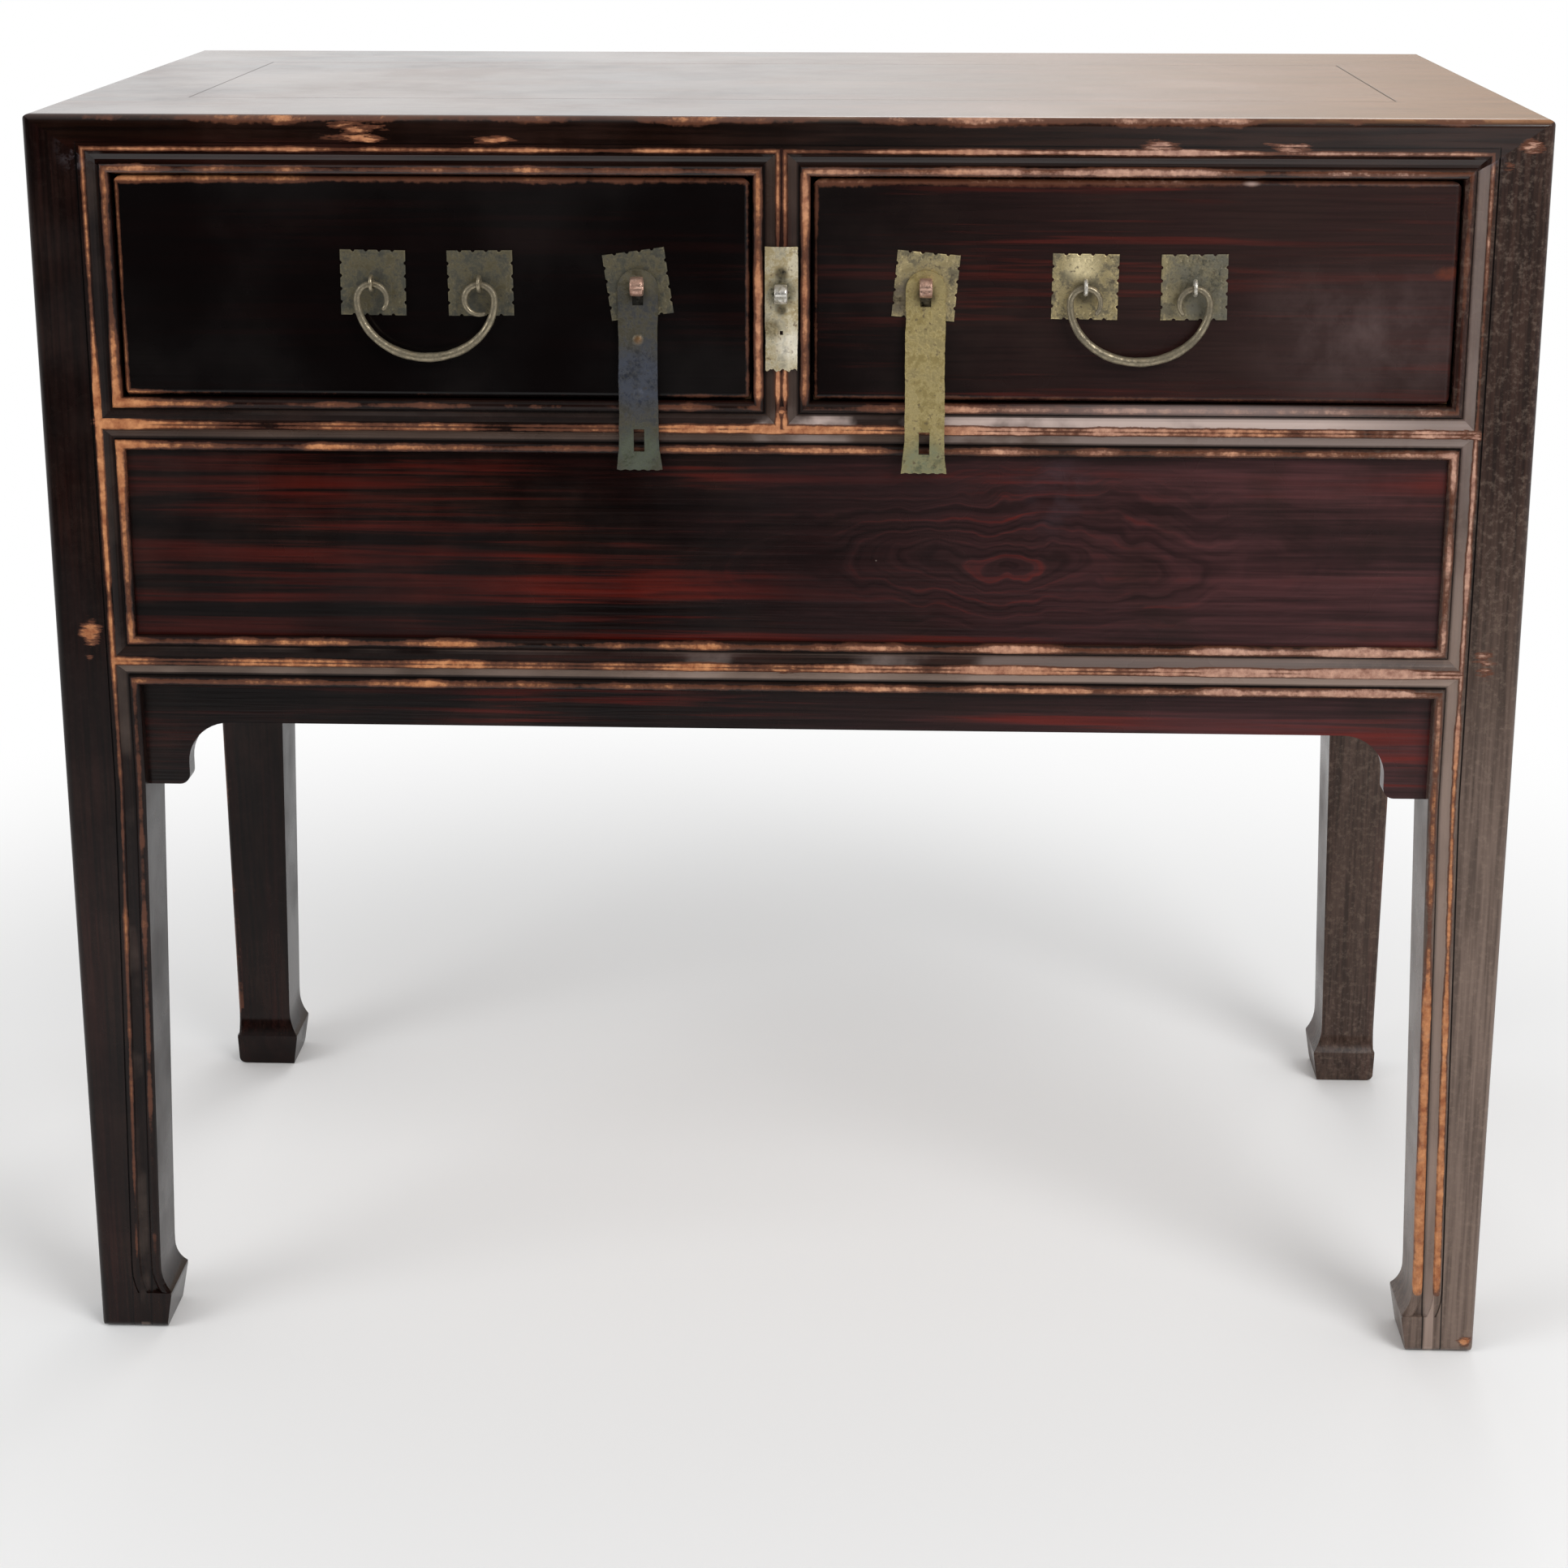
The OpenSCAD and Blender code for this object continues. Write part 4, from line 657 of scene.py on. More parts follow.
def rubbed_top():
    """Brown figured film on the upper face with dark joint lines, the frame's film below it, and
    the edge between them rubbed."""
    material, add, place = new_material("rubbed_brown_lacquer_top")
    x, y, z = add("SeparateXYZ", place).node.outputs
    figure, pore = grain(add, place, "x", 38, 300)
    tone = add("MapRange", figure, 0.32, 0.68, **SMOOTH)
    cloud = clouds(add, place, 5.0, (0.40, 0.62, 0.0, 0.55), SMOOTH, Detail=4.0)
    aged = add("MapRange", x, -0.1, 0.42, 0.0, 0.6, **SMOOTH)
    brown = coated(add, "#34211b", (tone, "#6b4636"), (cloud, "#8a6a55"), (aged, "#a06f4a"))
    brown = shaded(add, brown, pore, 0.36, 0.60, 0.55)
    off_middle = add("Math subtract", y, MID_Y)
    past_x = add("Math subtract", add("Math absolute", x), STILE_X)
    past_y = add("Math subtract", add("Math absolute", off_middle), RAIL_HALF)
    slope = add("Math subtract", add("Math multiply", past_x, MITRE_SLOPE), past_y)
    within_x = add("Math less_than", past_x, 0.0)
    within_y = add("Math less_than", past_y, 0.0)
    beyond = add("Math greater_than", past_x, 0.0)
    by_stile = add("Math multiply", dark_line(add, past_x, 0.5 * MM, 0.9), within_y)
    lines = add("Math multiply", by_stile, add("MapRange", x, 0.2, 0.3, 0.35, 1.0))
    for off, width, strength, where in (
        (past_y, 0.4 * MM, 0.45, within_x),
        (off_middle, 0.3 * MM, 0.3, within_x),
        (slope, 0.5 * MM, 0.4, beyond),
    ):
        line = add("Math multiply", dark_line(add, off, width, strength), where)
        lines = add("Math maximum", lines, line)
    lines = add("Math multiply", lines, add("Math greater_than", z, EDGE_TO))
    brown = coated(add, brown, (lines, "#0d0706"))
    ridge = raised_edges(add, moulding_distance(add, x, y, z))
    ridge = add("Math multiply", ridge, outer_skin(add, x, y))
    ridge = add("Math multiply", ridge, add("Math less_than", z, RIDGE_TO))
    value = scraped(add, place, rubbed(add, place, ridge, 0.05), 0.8)
    edge = add("MapRange", z, EDGE_FROM, EDGE_TO, 0.0, 0.60, **SMOOTH)
    edge = add("Math multiply", edge, add("Math less_than", z, FLAT_FROM))
    value = add("Math maximum", value, rubbed(add, place, edge, 0.0))
    film = lacquer_film(add, place, x, figure, pore, "#150804", "#2a1812", "#3c1410", 0.5)
    upper = add("MapRange", z, FILM_FROM, FILM_TO, **SMOOTH)
    under = coated(add, film, (upper, brown))
    colour, bare = rubbed_colour(add, place, x, under, value)
    notch = spot(add, place, (-0.274, BACK_Y, 0.84), 0.036, (1, 0.22, 1))
    colour = coated(add, colour, (notch, "#120b09"))
    polish = clouds(add, place, 8.0, (0.35, 0.65, 0.10, 0.20), Detail=5.0, Roughness=0.6)
    rough = add("Mix", (0, bare), (2, polish), (3, 0.5))
    height = add("Math multiply_add", lines, -1.0, pore)
    bump = add("Bump", Strength=0.3, Distance=0.25 * MM, Height=height)
    finish_material(add, Base_Color=colour, Roughness=rough, Normal=bump, IOR=1.5)
    return material


top_lacquer = rubbed_top()
print("top finish with", len(top_lacquer.node_tree.nodes), "nodes")

# %% [markdown]
# ## Bare wood inside
#
# Drawer sides, runners, battens and the compartment's floor never had lacquer. They are dry elm
# and pine, browned by a century of air, with open pores.

# %% Bare wood
def bare_wood(name, along):
    """Dry brown wood with open pores and dirt in clouds, its grain along one axis."""
    material, add, place = new_material(name)
    figure, pore = grain(add, place, along, 60, 380)
    tone = add("MapRange", figure, 0.32, 0.68, **SMOOTH)
    dirt = clouds(add, place, 6.0, (0.45, 0.66, 0.0, 0.5), SMOOTH, Detail=5.0)
    wood = coated(add, "#6e4c30", (tone, "#a67c52"), (dirt, "#4a3322"))
    wood = shaded(add, wood, pore, 0.36, 0.60, 0.6)
    bump = add("Bump", Strength=0.4, Distance=0.4 * MM, Height=pore)
    finish_material(add, Base_Color=wood, Roughness=0.72, Normal=bump, IOR=1.5)
    return material


inner_wood = bare_wood("bare_aged_elm", "y")
back_wood = bare_wood("bare_aged_elm_across", "x")
print("inner wood", inner_wood.name, back_wood.name)

# %% [markdown]
# ## Old brass
#
# The fittings are cast and hammered brass. Touch keeps it yellow, air turns it grey-green and
# brown in blotches. The left drawer's set is darkest, the right one's is yellow, and the lock
# plate is almost cream. One recipe takes the two ends of each set's colours.

# %% Brass finishes
def brass(name, clean, dull, spots, share, rough, *patches):
    """Metal with blotches of patina some 10 mm wide, dark spots some 3 mm wide over a share of
    it, and patches given as (x, z, radius, colour): bright where hands rub it, dark round a
    staple, and in some places painted highlight, painted shade and painted reflection."""
    material, add, place = new_material(name)
    blotch = add("TexNoise", Vector=place, Scale=95.0, Detail=5.0, Roughness=0.6)
    fine = add("TexNoise", Vector=place, Scale=420.0, Detail=4.0, Roughness=0.7)
    blotch = add("Math multiply_add", fine, 0.8, blotch)
    blotch = add("MapRange", blotch, 0.72, 1.06, **SMOOTH)
    colour = coated(add, clean, (blotch, dull))
    for patch_x, patch_z, radius, code in patches:
        patch = spot(add, place, (patch_x, FRONT_Y, patch_z), radius)
        patch = add("Math multiply", patch, 1.7, use_clamp=True)
        patch = add("Math multiply", patch, add("MapRange", fine, 0.35, 0.60, 1.0, 0.6))
        colour = coated(add, colour, (patch, code))
    pit = add("TexNoise", Vector=place, Scale=330.0, Detail=3.0)
    pit = add("MapRange", pit, 0.66 - share, 0.78 - share, 0.0, 0.85)
    colour = coated(add, colour, (pit, spots))
    metal = add("Mix", (0, blotch), (2, 0.85), (3, 0.45))
    metal = add("Math multiply", metal, add("Math subtract", 1.0, pit))
    rough = add("MapRange", blotch, 0.0, 1.0, rough, rough + 0.18)
    bump = add("Bump", Strength=0.5, Distance=0.2 * MM, Height=blotch)
    finish_material(add, Base_Color=colour, Metallic=metal, Roughness=rough, Normal=bump)
    return material


# Its near-black patch is painted shade in the strap's slot below the staple.
dark_plate = brass("patinated_brass_plate", "#79715a", "#45443b", "#2a2620", 0.06, 0.42,
                   (-0.0905, 0.726, 0.012, "#0c0a08"))
# Blue-grey below the bend and grey-green at the foot are painted reflections of the tilted parts;
# near black round the slot is painted shade.
dark_strap = brass("patinated_brass_strap", "#666152", "#3a3b3c", "#2b2823", 0.06, 0.42,
                   (-0.0905, 0.675, 0.032, "#434855"), (-0.0905, 0.628, 0.024, "#5a6050"),
                   (-0.0905, 0.738, 0.018, "#69634e"), (-0.0905, 0.7003, 0.004, "#9c6f40"),
                   (-0.0905, 0.6657, 0.004, "#8d7f54"), (-0.0905, 0.729, 0.009, "#120f0b"))
grey_wire = brass("worn_brass_wire", "#9c917a", "#6c6453", "#3d372c", 0.02, 0.30)
# Bright above the bail's eye is a painted highlight and darker round it painted shade; near black
# in the strap's slot is painted shade.
yellow_plate = brass("yellow_brass_plate", "#c9b789", "#6c644f", "#3f3524", 0.06, 0.36,
                     (0.188, 0.749, 0.015, "#f0dfb0"), (0.190, 0.731, 0.012, "#4c4535"),
                     (0.272, 0.738, 0.050, "#65645a"), (0.076, 0.727, 0.016, "#675d4e"),
                     (0.0905, 0.726, 0.013, "#17110c"))
# Grey-green at the foot is a painted reflection of the tilted foot; near black round the slot is
# painted shade.
yellow_strap = brass("yellow_brass_strap", "#cdbb86", "#8b7b4c", "#4a3c24", 0.07, 0.36,
                     (0.0905, 0.623, 0.026, "#7d8268"), (0.0905, 0.729, 0.010, "#231a11"))
# Near-black spots just above and below the staple's eye are painted shade.
cream_plate = brass("cream_brass_lock_plate", "#e2d8bc", "#a4946f", "#4e3620", 0.06, 0.36,
                    (0.006, 0.697, 0.014, "#efe8d6"), (-0.007, 0.708, 0.009, "#a08f69"),
                    (0.0, 0.731, 0.014, "#35351f"), (0.0, 0.743, 0.006, "#12110b"),
                    (0.0, 0.7195, 0.005, "#12110b"))
copper_lug = brass("rubbed_copper_lug", "#d0ab98", "#8d6a5a", "#4a3a30", 0.03, 0.26)
silver_lug = brass("rubbed_pale_lug", "#e6e2da", "#8d8776", "#3b362b", 0.05, 0.24)
print("eight brass finishes")

# %% [markdown]
# ## Dress the CAD pieces
#
# Nodes whose shape is right keep their meshes and get a finish. Legs have upright grain, front
# and back rails grain along X, side rails along Y.

# %% Assign finishes
def finish_for(name):
    """The finish of a CAD node, from its name."""
    if name.endswith("drawer_back"):
        return back_wood
    if any(word in name for word in ("batten", "floor", "runner", "_side", "drawer_bottom")):
        return inner_wood
    if name.startswith("top_"):
        return top_lacquer
    if "leg" in name or name == "drawer_divider":
        return leg_lacquer
    if name.endswith("drawer_front"):
        return drawer_board
    if "panel" in name or "apron" in name:
        return front_board if name.startswith(("front", "back")) else side_board
    if name.endswith("rail"):
        return rail_lacquer if name.startswith(("front", "back")) else side_lacquer
    return grey_wire if name.startswith("left") else silver_lug


for name, node in nodes.items():
    node.material_slots[0].material = finish_for(name)
print("finishes in use:", len({finish_for(name).name for name in nodes}))

# %% [markdown]
# ## Making pieces from arrays
#
# Each brass fitting is a surface worked out with numpy. Closed shapes are turned the right way
# out by the sign of their volume. Plates are open sheets that a Solidify modifier gives their
# thickness.

# %% Mesh helpers
def outward(points, quads, triangles):
    """Turn all faces if the volume they enclose, the sum of corner determinants over 6, is below
    0."""
    halves = np.concatenate([quads[:, [0, 1, 2]], quads[:, [0, 2, 3]], triangles])
    a, b, c = points[halves[:, 0]], points[halves[:, 1]], points[halves[:, 2]]
    if np.einsum("ij,ij->i", a, np.cross(b, c)).sum() < 0:
        return quads[:, ::-1], triangles[:, ::-1]
    return quads, triangles


def joined(parts):
    """Several (points, quads, triangles) as one, each part's corner numbers moved past the
    last."""
    starts = np.cumsum([0] + [len(p) for p, _, _ in parts[:-1]])
    quads = np.concatenate([q + s for (_, q, _), s in zip(parts, starts)])
    triangles = np.concatenate([t + s for (_, _, t), s in zip(parts, starts)])
    return np.concatenate([p for p, _, _ in parts]), quads, triangles


def make_piece(name, part, material, body, slot, replaced, smooth=True):
    """A mesh object from millimetre points, riding on a body and standing for a CAD node."""
    points, quads, triangles = part
    mesh = bpy.data.meshes.new(name)
    mesh.from_pydata((points * MM).tolist(), [], quads.tolist() + triangles.tolist())
    mesh.polygons.foreach_set("use_smooth", np.full(len(mesh.polygons), smooth))
    mesh.materials.append(material)
    piece = bpy.data.objects.new(name, mesh)
    bpy.context.scene.collection.objects.link(piece)
    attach(piece, body)
    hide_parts(replaced)
    print(name, len(mesh.polygons), "faces")
    return piece


NO_TRIANGLES = np.zeros((0, 3), int)
FACE, PLATE_BACK = 237.4, 233.4
SIDES = (("left", -1, "dark_brass"), ("right", 1, "yellow_brass"))


def tube(path, radii, sides, up):
    """A round bar: circles of the given radii across the path, drawn from the path's direction
    and a side direction up, with each end rounded off to a point over its own radius."""
    path, up = np.asarray(path, float), np.asarray(up, float)
    along = np.gradient(path, axis=0)
    along /= np.linalg.norm(along, axis=1, keepdims=True)
    across = np.cross(along, up)
    across /= np.linalg.norm(across, axis=1, keepdims=True)
    upward = np.cross(across, along)
    run = np.concatenate([[0], np.cumsum(np.linalg.norm(np.diff(path, axis=0), axis=1))])
    left = np.minimum(run, run[-1] - run) / radii
    radii = radii * np.sqrt(1 - np.clip(1 - left, 0, 1) ** 2)
    turn = np.linspace(0, 2 * np.pi, sides, endpoint=False)
    level, rise = np.cos(turn)[None, :, None], np.sin(turn)[None, :, None]
    circles = level * across[1:-1, None] + rise * upward[1:-1, None]
    rings = path[1:-1, None] + radii[1:-1, None, None] * circles
    rows = len(path) - 2
    points = np.concatenate([rings.reshape(-1, 3), path[:1], path[-1:]])
    quads = grid_quads(rows, sides, round_columns=True)
    around = np.arange(sides)
    following, tip = (around + 1) % sides, np.full(sides, rows * sides)
    last_row = (rows - 1) * sides
    first = np.stack([tip, following, around], 1)
    last = np.stack([tip + 1, last_row + around, last_row + following], 1)
    triangles = np.concatenate([first, last])
    return (points, *outward(points, quads, triangles))


def eased(count):
    """Steps from 0 to 1, closer together near both ends, for bars with rounded ends."""
    s = np.linspace(0, 1, count)
    return (1 - np.cos(np.pi * s)) / 2


print("front faces at", FACE, "mm, plates' backs at", PLATE_BACK, "mm before the middle")

# %% [markdown]
# ## Bails
#
# A bail is one cast bar, thick at the grip and drawn out thin at both ends, which curl inwards
# below their eyes. Its middle line is a half ellipse between two circles.

# %% Bail bars
BAIL_X, PULL_Z, SPAN = 224.0, 735.0, 68.0
EYE_Y = -FACE - 2.95
SCROLL_R, BAIL_DROP = 9.5, 46.5
WIRE_R, GRIP_R, TIP_R = 2.1, 2.9, 1.3


def curl(turned, steps=44):
    """Arc of the scroll's circle from its tip up over the eye and down to the grip, left side."""
    a = np.radians(np.linspace(90 - turned, 180, steps, endpoint=False))
    x, z = -SPAN / 2 + SCROLL_R * np.cos(a), SCROLL_R * np.sin(a) - SCROLL_R
    thick = TIP_R + (WIRE_R - TIP_R) * np.minimum(1, np.linspace(0, 2, steps))
    return np.stack([x, z, thick], 1)


def bail_bar(centre_x, left_turn, right_turn):
    """Curl, half ellipse and mirrored curl as one path, with the radius growing to the grip."""
    a = np.linspace(0, np.pi, 90)
    wide, deep = SPAN / 2 + SCROLL_R, BAIL_DROP - SCROLL_R
    thick = WIRE_R + (GRIP_R - WIRE_R) * np.sin(a)
    grip = np.stack([-wide * np.cos(a), -SCROLL_R - deep * np.sin(a), thick], 1)
    line = np.concatenate([curl(left_turn), grip, (curl(right_turn) * [-1, 1, 1])[::-1]])
    path = np.stack([centre_x + line[:, 0], np.full(len(line), EYE_Y), PULL_Z + line[:, 1]], 1)
    worn = 1 + 0.035 * np.sin(line[:, 0] * 0.31 + 1.0) + 0.02 * np.sin(line[:, 0] * 0.83)
    return tube(path, line[:, 2] * worn, 28, (0, 1, 0))


for (side, sign, slot), right_turn in zip(SIDES, (205, 140)):
    make_piece(f"{side}_bail_bar", bail_bar(sign * BAIL_X, 140, right_turn), grey_wire,
               f"{side}_bail_handle", slot, f"{side}_bail")

# %% [markdown]
# ## Square plates
#
# The plates under the bails' eyes and the hasps are cut from sheet, their rims nicked with a file
# and dotted with a punch. A square grid is pulled in at the nicks, and the punch marks and the
# hammering are heights on it.

# %% Nicked plates
PLATE_STEPS = 97
NICK_R = 1.15


def nicks(s, length):
    """Depth of the file's nicks at s along an edge: half circles a fifth of the edge apart."""
    centres = np.array([-0.3, -0.1, 0.1, 0.3]) * length
    return np.sqrt(np.clip(NICK_R**2 - (s[..., None] - centres) ** 2, 0, None)).sum(-1)


def nicked_plate(centre_x, centre_z, width, height, tilt, seed):
    """Sheet over u and v from -1 to 1: x is u times the half width less the nicks at that height,
    z likewise. It stands about 1 mm proud, with waves of hammering, less a punch mark's dent and
    less near its rim."""
    u, v = np.meshgrid(*[np.linspace(-1, 1, PLATE_STEPS)] * 2, indexing="ij")
    x = u * (width / 2 - nicks(v * height / 2, height))
    z = v * (height / 2 - nicks(u * width / 2, width))
    draw = np.random.default_rng(seed)
    lengths = draw.uniform(-0.5, 0.5, 6), draw.uniform(-0.5, 0.5, 6), draw.uniform(0, 6, 6)
    wave = sum(np.sin(x * a + z * b + c) for a, b, c in zip(*lengths))
    proud = 1.05 + 0.06 * wave
    marks = np.linspace(-0.40, 0.40, 9)
    ring = np.concatenate([np.stack([marks, np.full(9, s * 0.41)], 1) for s in (-1, 1)])
    ring = np.concatenate([ring, ring[:, ::-1]]) * [width, height]
    gone = np.hypot(x[..., None] - ring[:, 0], z[..., None] - ring[:, 1]).min(-1)
    proud -= 0.35 * np.clip(1 - gone / 0.9, 0, 1)
    rim = np.minimum(width / 2 * (1 - np.abs(u)), height / 2 * (1 - np.abs(v)))
    proud -= 0.35 * np.clip(1 - rim / 0.7, 0, 1) ** 2
    turn = np.radians(tilt)
    front = np.stack([
        centre_x + x * np.cos(turn) - z * np.sin(turn),
        -PLATE_BACK - proud,
        centre_z + x * np.sin(turn) + z * np.cos(turn),
    ], -1)
    back = front.copy()
    back[..., 1] = -PLATE_BACK
    count = PLATE_STEPS**2
    quads = grid_quads(PLATE_STEPS, PLATE_STEPS)
    index = np.arange(count).reshape(PLATE_STEPS, PLATE_STEPS)
    border = np.concatenate([index[0, :-1], index[:-1, -1], index[-1, :0:-1], index[:0:-1, 0]])
    after = np.roll(border, -1)
    wall = np.stack([border, border + count, after + count, after], 1)
    points = np.concatenate([front.reshape(-1, 3), back.reshape(-1, 3)])
    all_quads = np.concatenate([quads, quads[:, ::-1] + count, wall])
    return (points, *outward(points - points.mean(0), all_quads, NO_TRIANGLES))


PLATE, HASP_X, HASP_SIZE = 41.5, 90.5, (39.5, 42)
for (side, sign, slot), material, tilt in zip(SIDES, (dark_plate, yellow_plate), (8, -5)):
    pair = [
        nicked_plate(sign * BAIL_X + end * SPAN / 2, PULL_Z, PLATE, PLATE, end * 0.6,
                     3 + sign + end)
        for end in (-1, 1)
    ]
    rest = material, f"{side}_drawer_box", slot
    make_piece(f"{side}_nicked_plates", joined(pair), *rest, f"{side}_bail_plates")
    hasp = nicked_plate(sign * HASP_X, PULL_Z, *HASP_SIZE, tilt, 11 + sign)
    make_piece(f"{side}_nicked_hasp_plate", hasp, *rest, f"{side}_hasp_plate")

# %% [markdown]
# ## Staples
#
# A staple is a strip rolled into an eye, its two ends driven through the wood and bent flat
# behind. Seen from the front the eye is two bright rounded lobes with a groove between them.

# %% Rolled staples
EYE_STEPS, SECTION_STEPS, BAR_STEPS = 72, 36, 26
GROOVE_DEPTH, GROOVE_TURN, GROOVE_WIDTH = 0.75, 0.12, 0.16
EYE_LENGTH, END_R, END_REACH = 8.0, 0.7, 22


def rolled_eye(centre, length, outer, bore):
    """Ring round an X axis: a rounded box section carried round a circle, its outside dented at
    the front by a narrow groove where the strip's two ends meet."""
    turn = np.linspace(0, 2 * np.pi, EYE_STEPS, endpoint=False)[:, None]
    section = np.linspace(0, 2 * np.pi, SECTION_STEPS, endpoint=False)[None, :]
    c, s = np.cos(section), np.sin(section)
    x = length / 2 * np.sign(c) * np.abs(c) ** 0.45 * np.ones_like(turn)
    radius = (outer + bore) / 2 + (outer - bore) / 2 * np.sign(s) * np.abs(s) ** 0.6
    off = (turn + np.pi) % (2 * np.pi) - np.pi
    dent = GROOVE_DEPTH * np.exp(-((off + GROOVE_TURN) / GROOVE_WIDTH) ** 2)
    radius = radius - dent * np.clip(s, 0, 1)
    points = np.stack([
        centre[0] + x, centre[1] - radius * np.cos(turn), centre[2] + radius * np.sin(turn)
    ], -1).reshape(-1, 3)
    quads = grid_quads(EYE_STEPS, SECTION_STEPS, True, True)
    return (points, *outward(points - np.array(centre), quads, NO_TRIANGLES))


def staple(x, z, out, back, lug_r=6.2, bore=4.0, neck_r=3.1):
    """A rolled eye, its neck through the wood, and the two ends bent flat behind."""
    eye = rolled_eye((x, -FACE - out, z), EYE_LENGTH, lug_r, bore)
    steps, all_steps = eased(BAR_STEPS), np.ones(BAR_STEPS)
    ys = -FACE - out + bore + 0.6 + steps * (back + FACE + out - bore - 0.6)
    through = np.stack([x * all_steps, ys, z * all_steps], 1)
    neck = tube(through, neck_r * all_steps, 24, (0, 0, 1))
    zs = z - END_REACH / 2 + END_REACH * steps
    behind = np.stack([x * all_steps, (back - END_R) * all_steps, zs], 1)
    ends = tube(behind, END_R * all_steps, 16, (0, 1, 0))
    ends[0][:, 0] = x + (ends[0][:, 0] - x) * neck_r / END_R
    return joined([eye, neck, ends])


for side, sign, slot in SIDES:
    make_piece(f"{side}_rolled_hasp_staple", staple(sign * HASP_X, PULL_Z, 5.8, -214.0),
               copper_lug,
               f"{side}_drawer_box", slot, f"{side}_hasp_staple")
make_piece("rolled_lock_staple", staple(0.0, 731.0, 9.0, -202.0), silver_lug, "carcase",
           "pale_brass", "lock_staple")

# %% [markdown]
# ## Straps and lock plate
#
# The straps hang from their staples and would swing over the lock's staple, which goes through
# the slot near their foot. Each is a grid whose columns keep to the slots' sides, so that the
# slots are left out as whole cells, and Solidify gives the sheet its thickness.

# %% Sheet pieces
def open_sheet(name, x, y, z, keep, thickness, *rest):
    """A sheet from grids of x, y and z with the cells that keep marks, its front towards -Y, made
    thick towards the back and its edges eased by a small bevel."""
    points = np.stack([x, y, z], -1).reshape(-1, 3)
    quads = grid_quads(*x.shape)[keep.ravel()]
    a, b, c = [points[quads[:, i]] for i in range(3)]
    if np.cross(b - a, c - b)[:, 1].sum() > 0:
        quads = quads[:, ::-1]
    used, quads = np.unique(quads, return_inverse=True)
    piece = make_piece(name, (points[used], quads.reshape(-1, 4), NO_TRIANGLES), *rest,
                       smooth=False)
    solid = piece.modifiers.new("thickness", "SOLIDIFY")
    solid.thickness, solid.offset = thickness * MM, -1
    solid.use_even_offset = True
    soft = piece.modifiers.new("eased_edges", "BEVEL")
    soft.width, soft.segments, soft.limit_method = 0.3 * MM, 2, "ANGLE"
    soft.angle_limit = np.radians(50)


def columns(half, slot_half, outer=8, inner=6):
    """Places across a row: even steps from the edge to the slot's side, across it, and out
    again."""
    side = np.linspace(0, 1, outer + 1)
    middle = np.linspace(-1, 1, inner + 1)[1:-1]
    left = -half[:, None] + (half - slot_half)[:, None] * side
    centre = slot_half[:, None] * middle
    return np.concatenate([left, centre, -left[:, ::-1]], 1)


def left_out(x, z, half, top, foot):
    """The grid's cells whose middle is within half of x = 0 and between two heights."""
    middle_z, middle_x = (z[:-1] + z[1:]) / 2, (x[:-1, :-1] + x[1:, 1:]) / 2
    return (np.abs(middle_x) < half) & ((middle_z < top) & (middle_z > foot))[:, None]


def rows(*stops, step=0.9):
    """Heights that hit every stop, in even steps of about the given length between them."""
    counts = [max(2, round(abs(b - a) / step) + 1) for a, b in zip(stops, stops[1:])]
    runs = [np.linspace(a, b, n)[:-1] for a, b, n in zip(stops, stops[1:], counts)]
    return np.concatenate(runs + [[stops[-1]]])


# %% Hasp straps
STRAP_W, FOOT_W, HEAD, FOOT_Z = 25.0, 29.0, 10.0, -118.0
SLOT, STRAP_T = 3.4, 1.8
UPPER_SLOT, LOWER_SLOT = (3.4, -13.0), (-99 + 7.25, -99 - 7.25)
BEND_FROM, BEND_TO, BEND_BACK = 16.1, 59.4, 2.5
BOSSES, BOSS_R = (-34.65, -69.3), 3.4


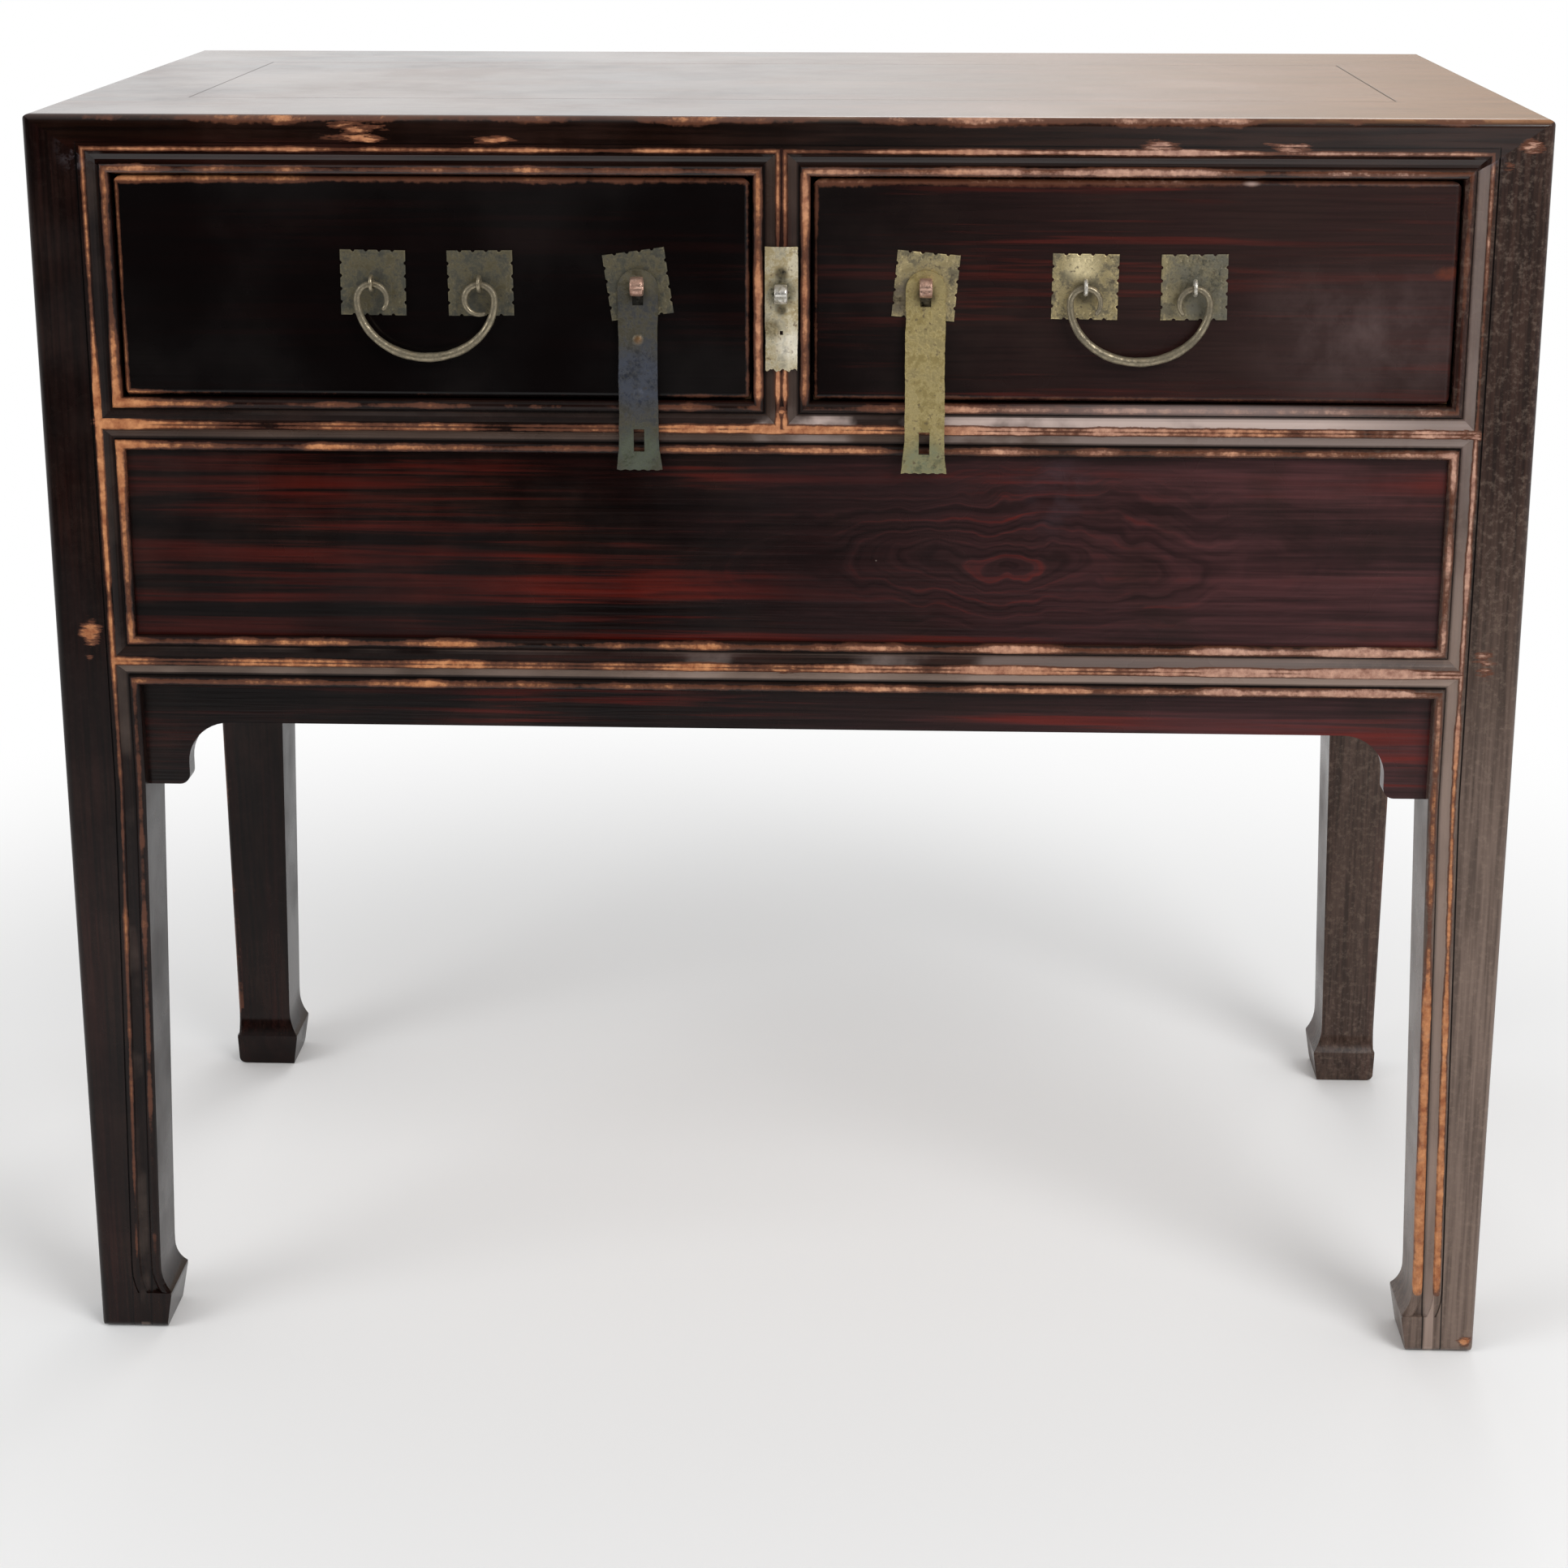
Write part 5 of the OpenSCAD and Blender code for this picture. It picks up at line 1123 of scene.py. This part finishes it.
def hasp_strap(side, sign, slot, material, hang, bosses, seed):
    """Half width over the height: a half circle at the head, then straight, then a flare to the
    foot. The back follows the plate, steps forward over its lower edge and hangs clear."""
    z = rows(HEAD - 0.05, *UPPER_SLOT, -34.0, -70.0, *LOWER_SLOT, FOOT_Z)
    round_z = np.clip(z - (HEAD - STRAP_W / 2), 0, None)
    half = np.sqrt(np.clip((STRAP_W / 2) ** 2 - round_z**2, 0.6, None))
    flare = np.clip((-z - 96) / 22, 0, 1)
    half = half + (FOOT_W - STRAP_W) / 2 * flare**1.6
    slot_half = np.minimum(SLOT, 0.45 * half)
    x = columns(half, slot_half)
    draw = np.random.default_rng(seed)
    uneven = np.cumsum(draw.normal(0, 0.06, (len(z), 2)), 0) * (z < -15)[:, None]
    uneven -= uneven.mean(0)
    x[:, 0] -= np.clip(uneven[:, 0], -0.3, 0.3)
    x[:, -1] += np.clip(uneven[:, 1], -0.3, 0.3)
    bend = np.clip((-BEND_FROM - z) / (BEND_TO - BEND_FROM), 0, 1)
    back = FACE - BEND_BACK + (hang + BEND_BACK) * bend
    wave = 0.09 * (1 + np.sin(z / 9.0 + seed)) * (z < -20)
    out = (back + STRAP_T + wave)[:, None] * np.ones_like(x)
    for boss_z in bosses:
        gone = np.hypot(x, z[:, None] - boss_z)
        out += np.clip(1 - (gone / BOSS_R) ** 2, 0, 1) ** 0.7
    height = z[:, None] * np.ones_like(x)
    height[-1] += 0.35 * np.sin(x[-1] * 1.1 + seed) - 0.2
    near = slot_half[:-1, None] - 0.01
    cut = left_out(x, z, near, *UPPER_SLOT) | left_out(x, z, near, *LOWER_SLOT)
    open_sheet(f"{side}_hammered_strap", sign * HASP_X + x, -out, PULL_Z + height, ~cut,
               STRAP_T, material, f"{side}_strap", slot, f"{side}_hasp_strap")


hasp_strap(*SIDES[0], dark_strap, 1.5, BOSSES, 5)
hasp_strap(*SIDES[1], yellow_strap, 4.6, (), 8)

# %% Lock plate
LOCK_Z, LOCK_T, LOCK_HALF, LOCK_SLOT_HALF = 720.0, 1.2, 10.5, 4.0
LOCK_SLOT, NAIL_HOLE = (15.6, 11.4), (-13.4, -16.0)
FOLD_AT, FOLD_FALL = 3.5, 1.8


def lock_plate():
    """Sheet folded along two lines over the divider's ridge: flat within 3.5 mm of the middle and
    falling 1.8 mm to its sides, with a slot above the staple, a nail hole below it and a torn
    foot."""
    z = rows(39.5, *LOCK_SLOT, 5.0, *NAIL_HOLE, -38.6, step=0.8)
    x = columns(np.full(len(z), LOCK_HALF), np.full(len(z), LOCK_SLOT_HALF), 6, 8)
    draw = np.random.default_rng(21)
    edge = np.cumsum(draw.normal(0, 0.09, (len(z), 2)), 0)
    edge = np.clip(edge - edge.mean(0), -0.5, 0.0)
    x[:, 0] -= edge[:, 0]
    x[:, -1] += edge[:, 1]
    fall = np.clip((np.abs(x) - FOLD_AT) / (LOCK_HALF - FOLD_AT), 0, 1) * FOLD_FALL
    out = FACE + LOCK_T - fall + 0.05 * np.sin(z[:, None] / 5.0) * np.cos(x / 4.0)
    out[-6:] += np.linspace(0, 0.2, 6)[:, None] * (np.sin(x[-6:] * 0.7 + 1.0) > 0.2)
    height = z[:, None] * np.ones_like(x)
    torn = 0.9 * np.sin(x[-1] * 0.9 + 0.7) + 0.5 * np.sin(x[-1] * 2.3)
    height[-4:] += np.linspace(0.2, 1, 4)[:, None] * torn
    cut = left_out(x, z, LOCK_SLOT_HALF - 0.1, *LOCK_SLOT) | left_out(x, z, 1.2, *NAIL_HOLE)
    open_sheet("folded_lock_plate", x, -out, LOCK_Z + height, ~cut, LOCK_T,
               cream_plate, "carcase", "pale_brass", "lock_plate")


lock_plate()
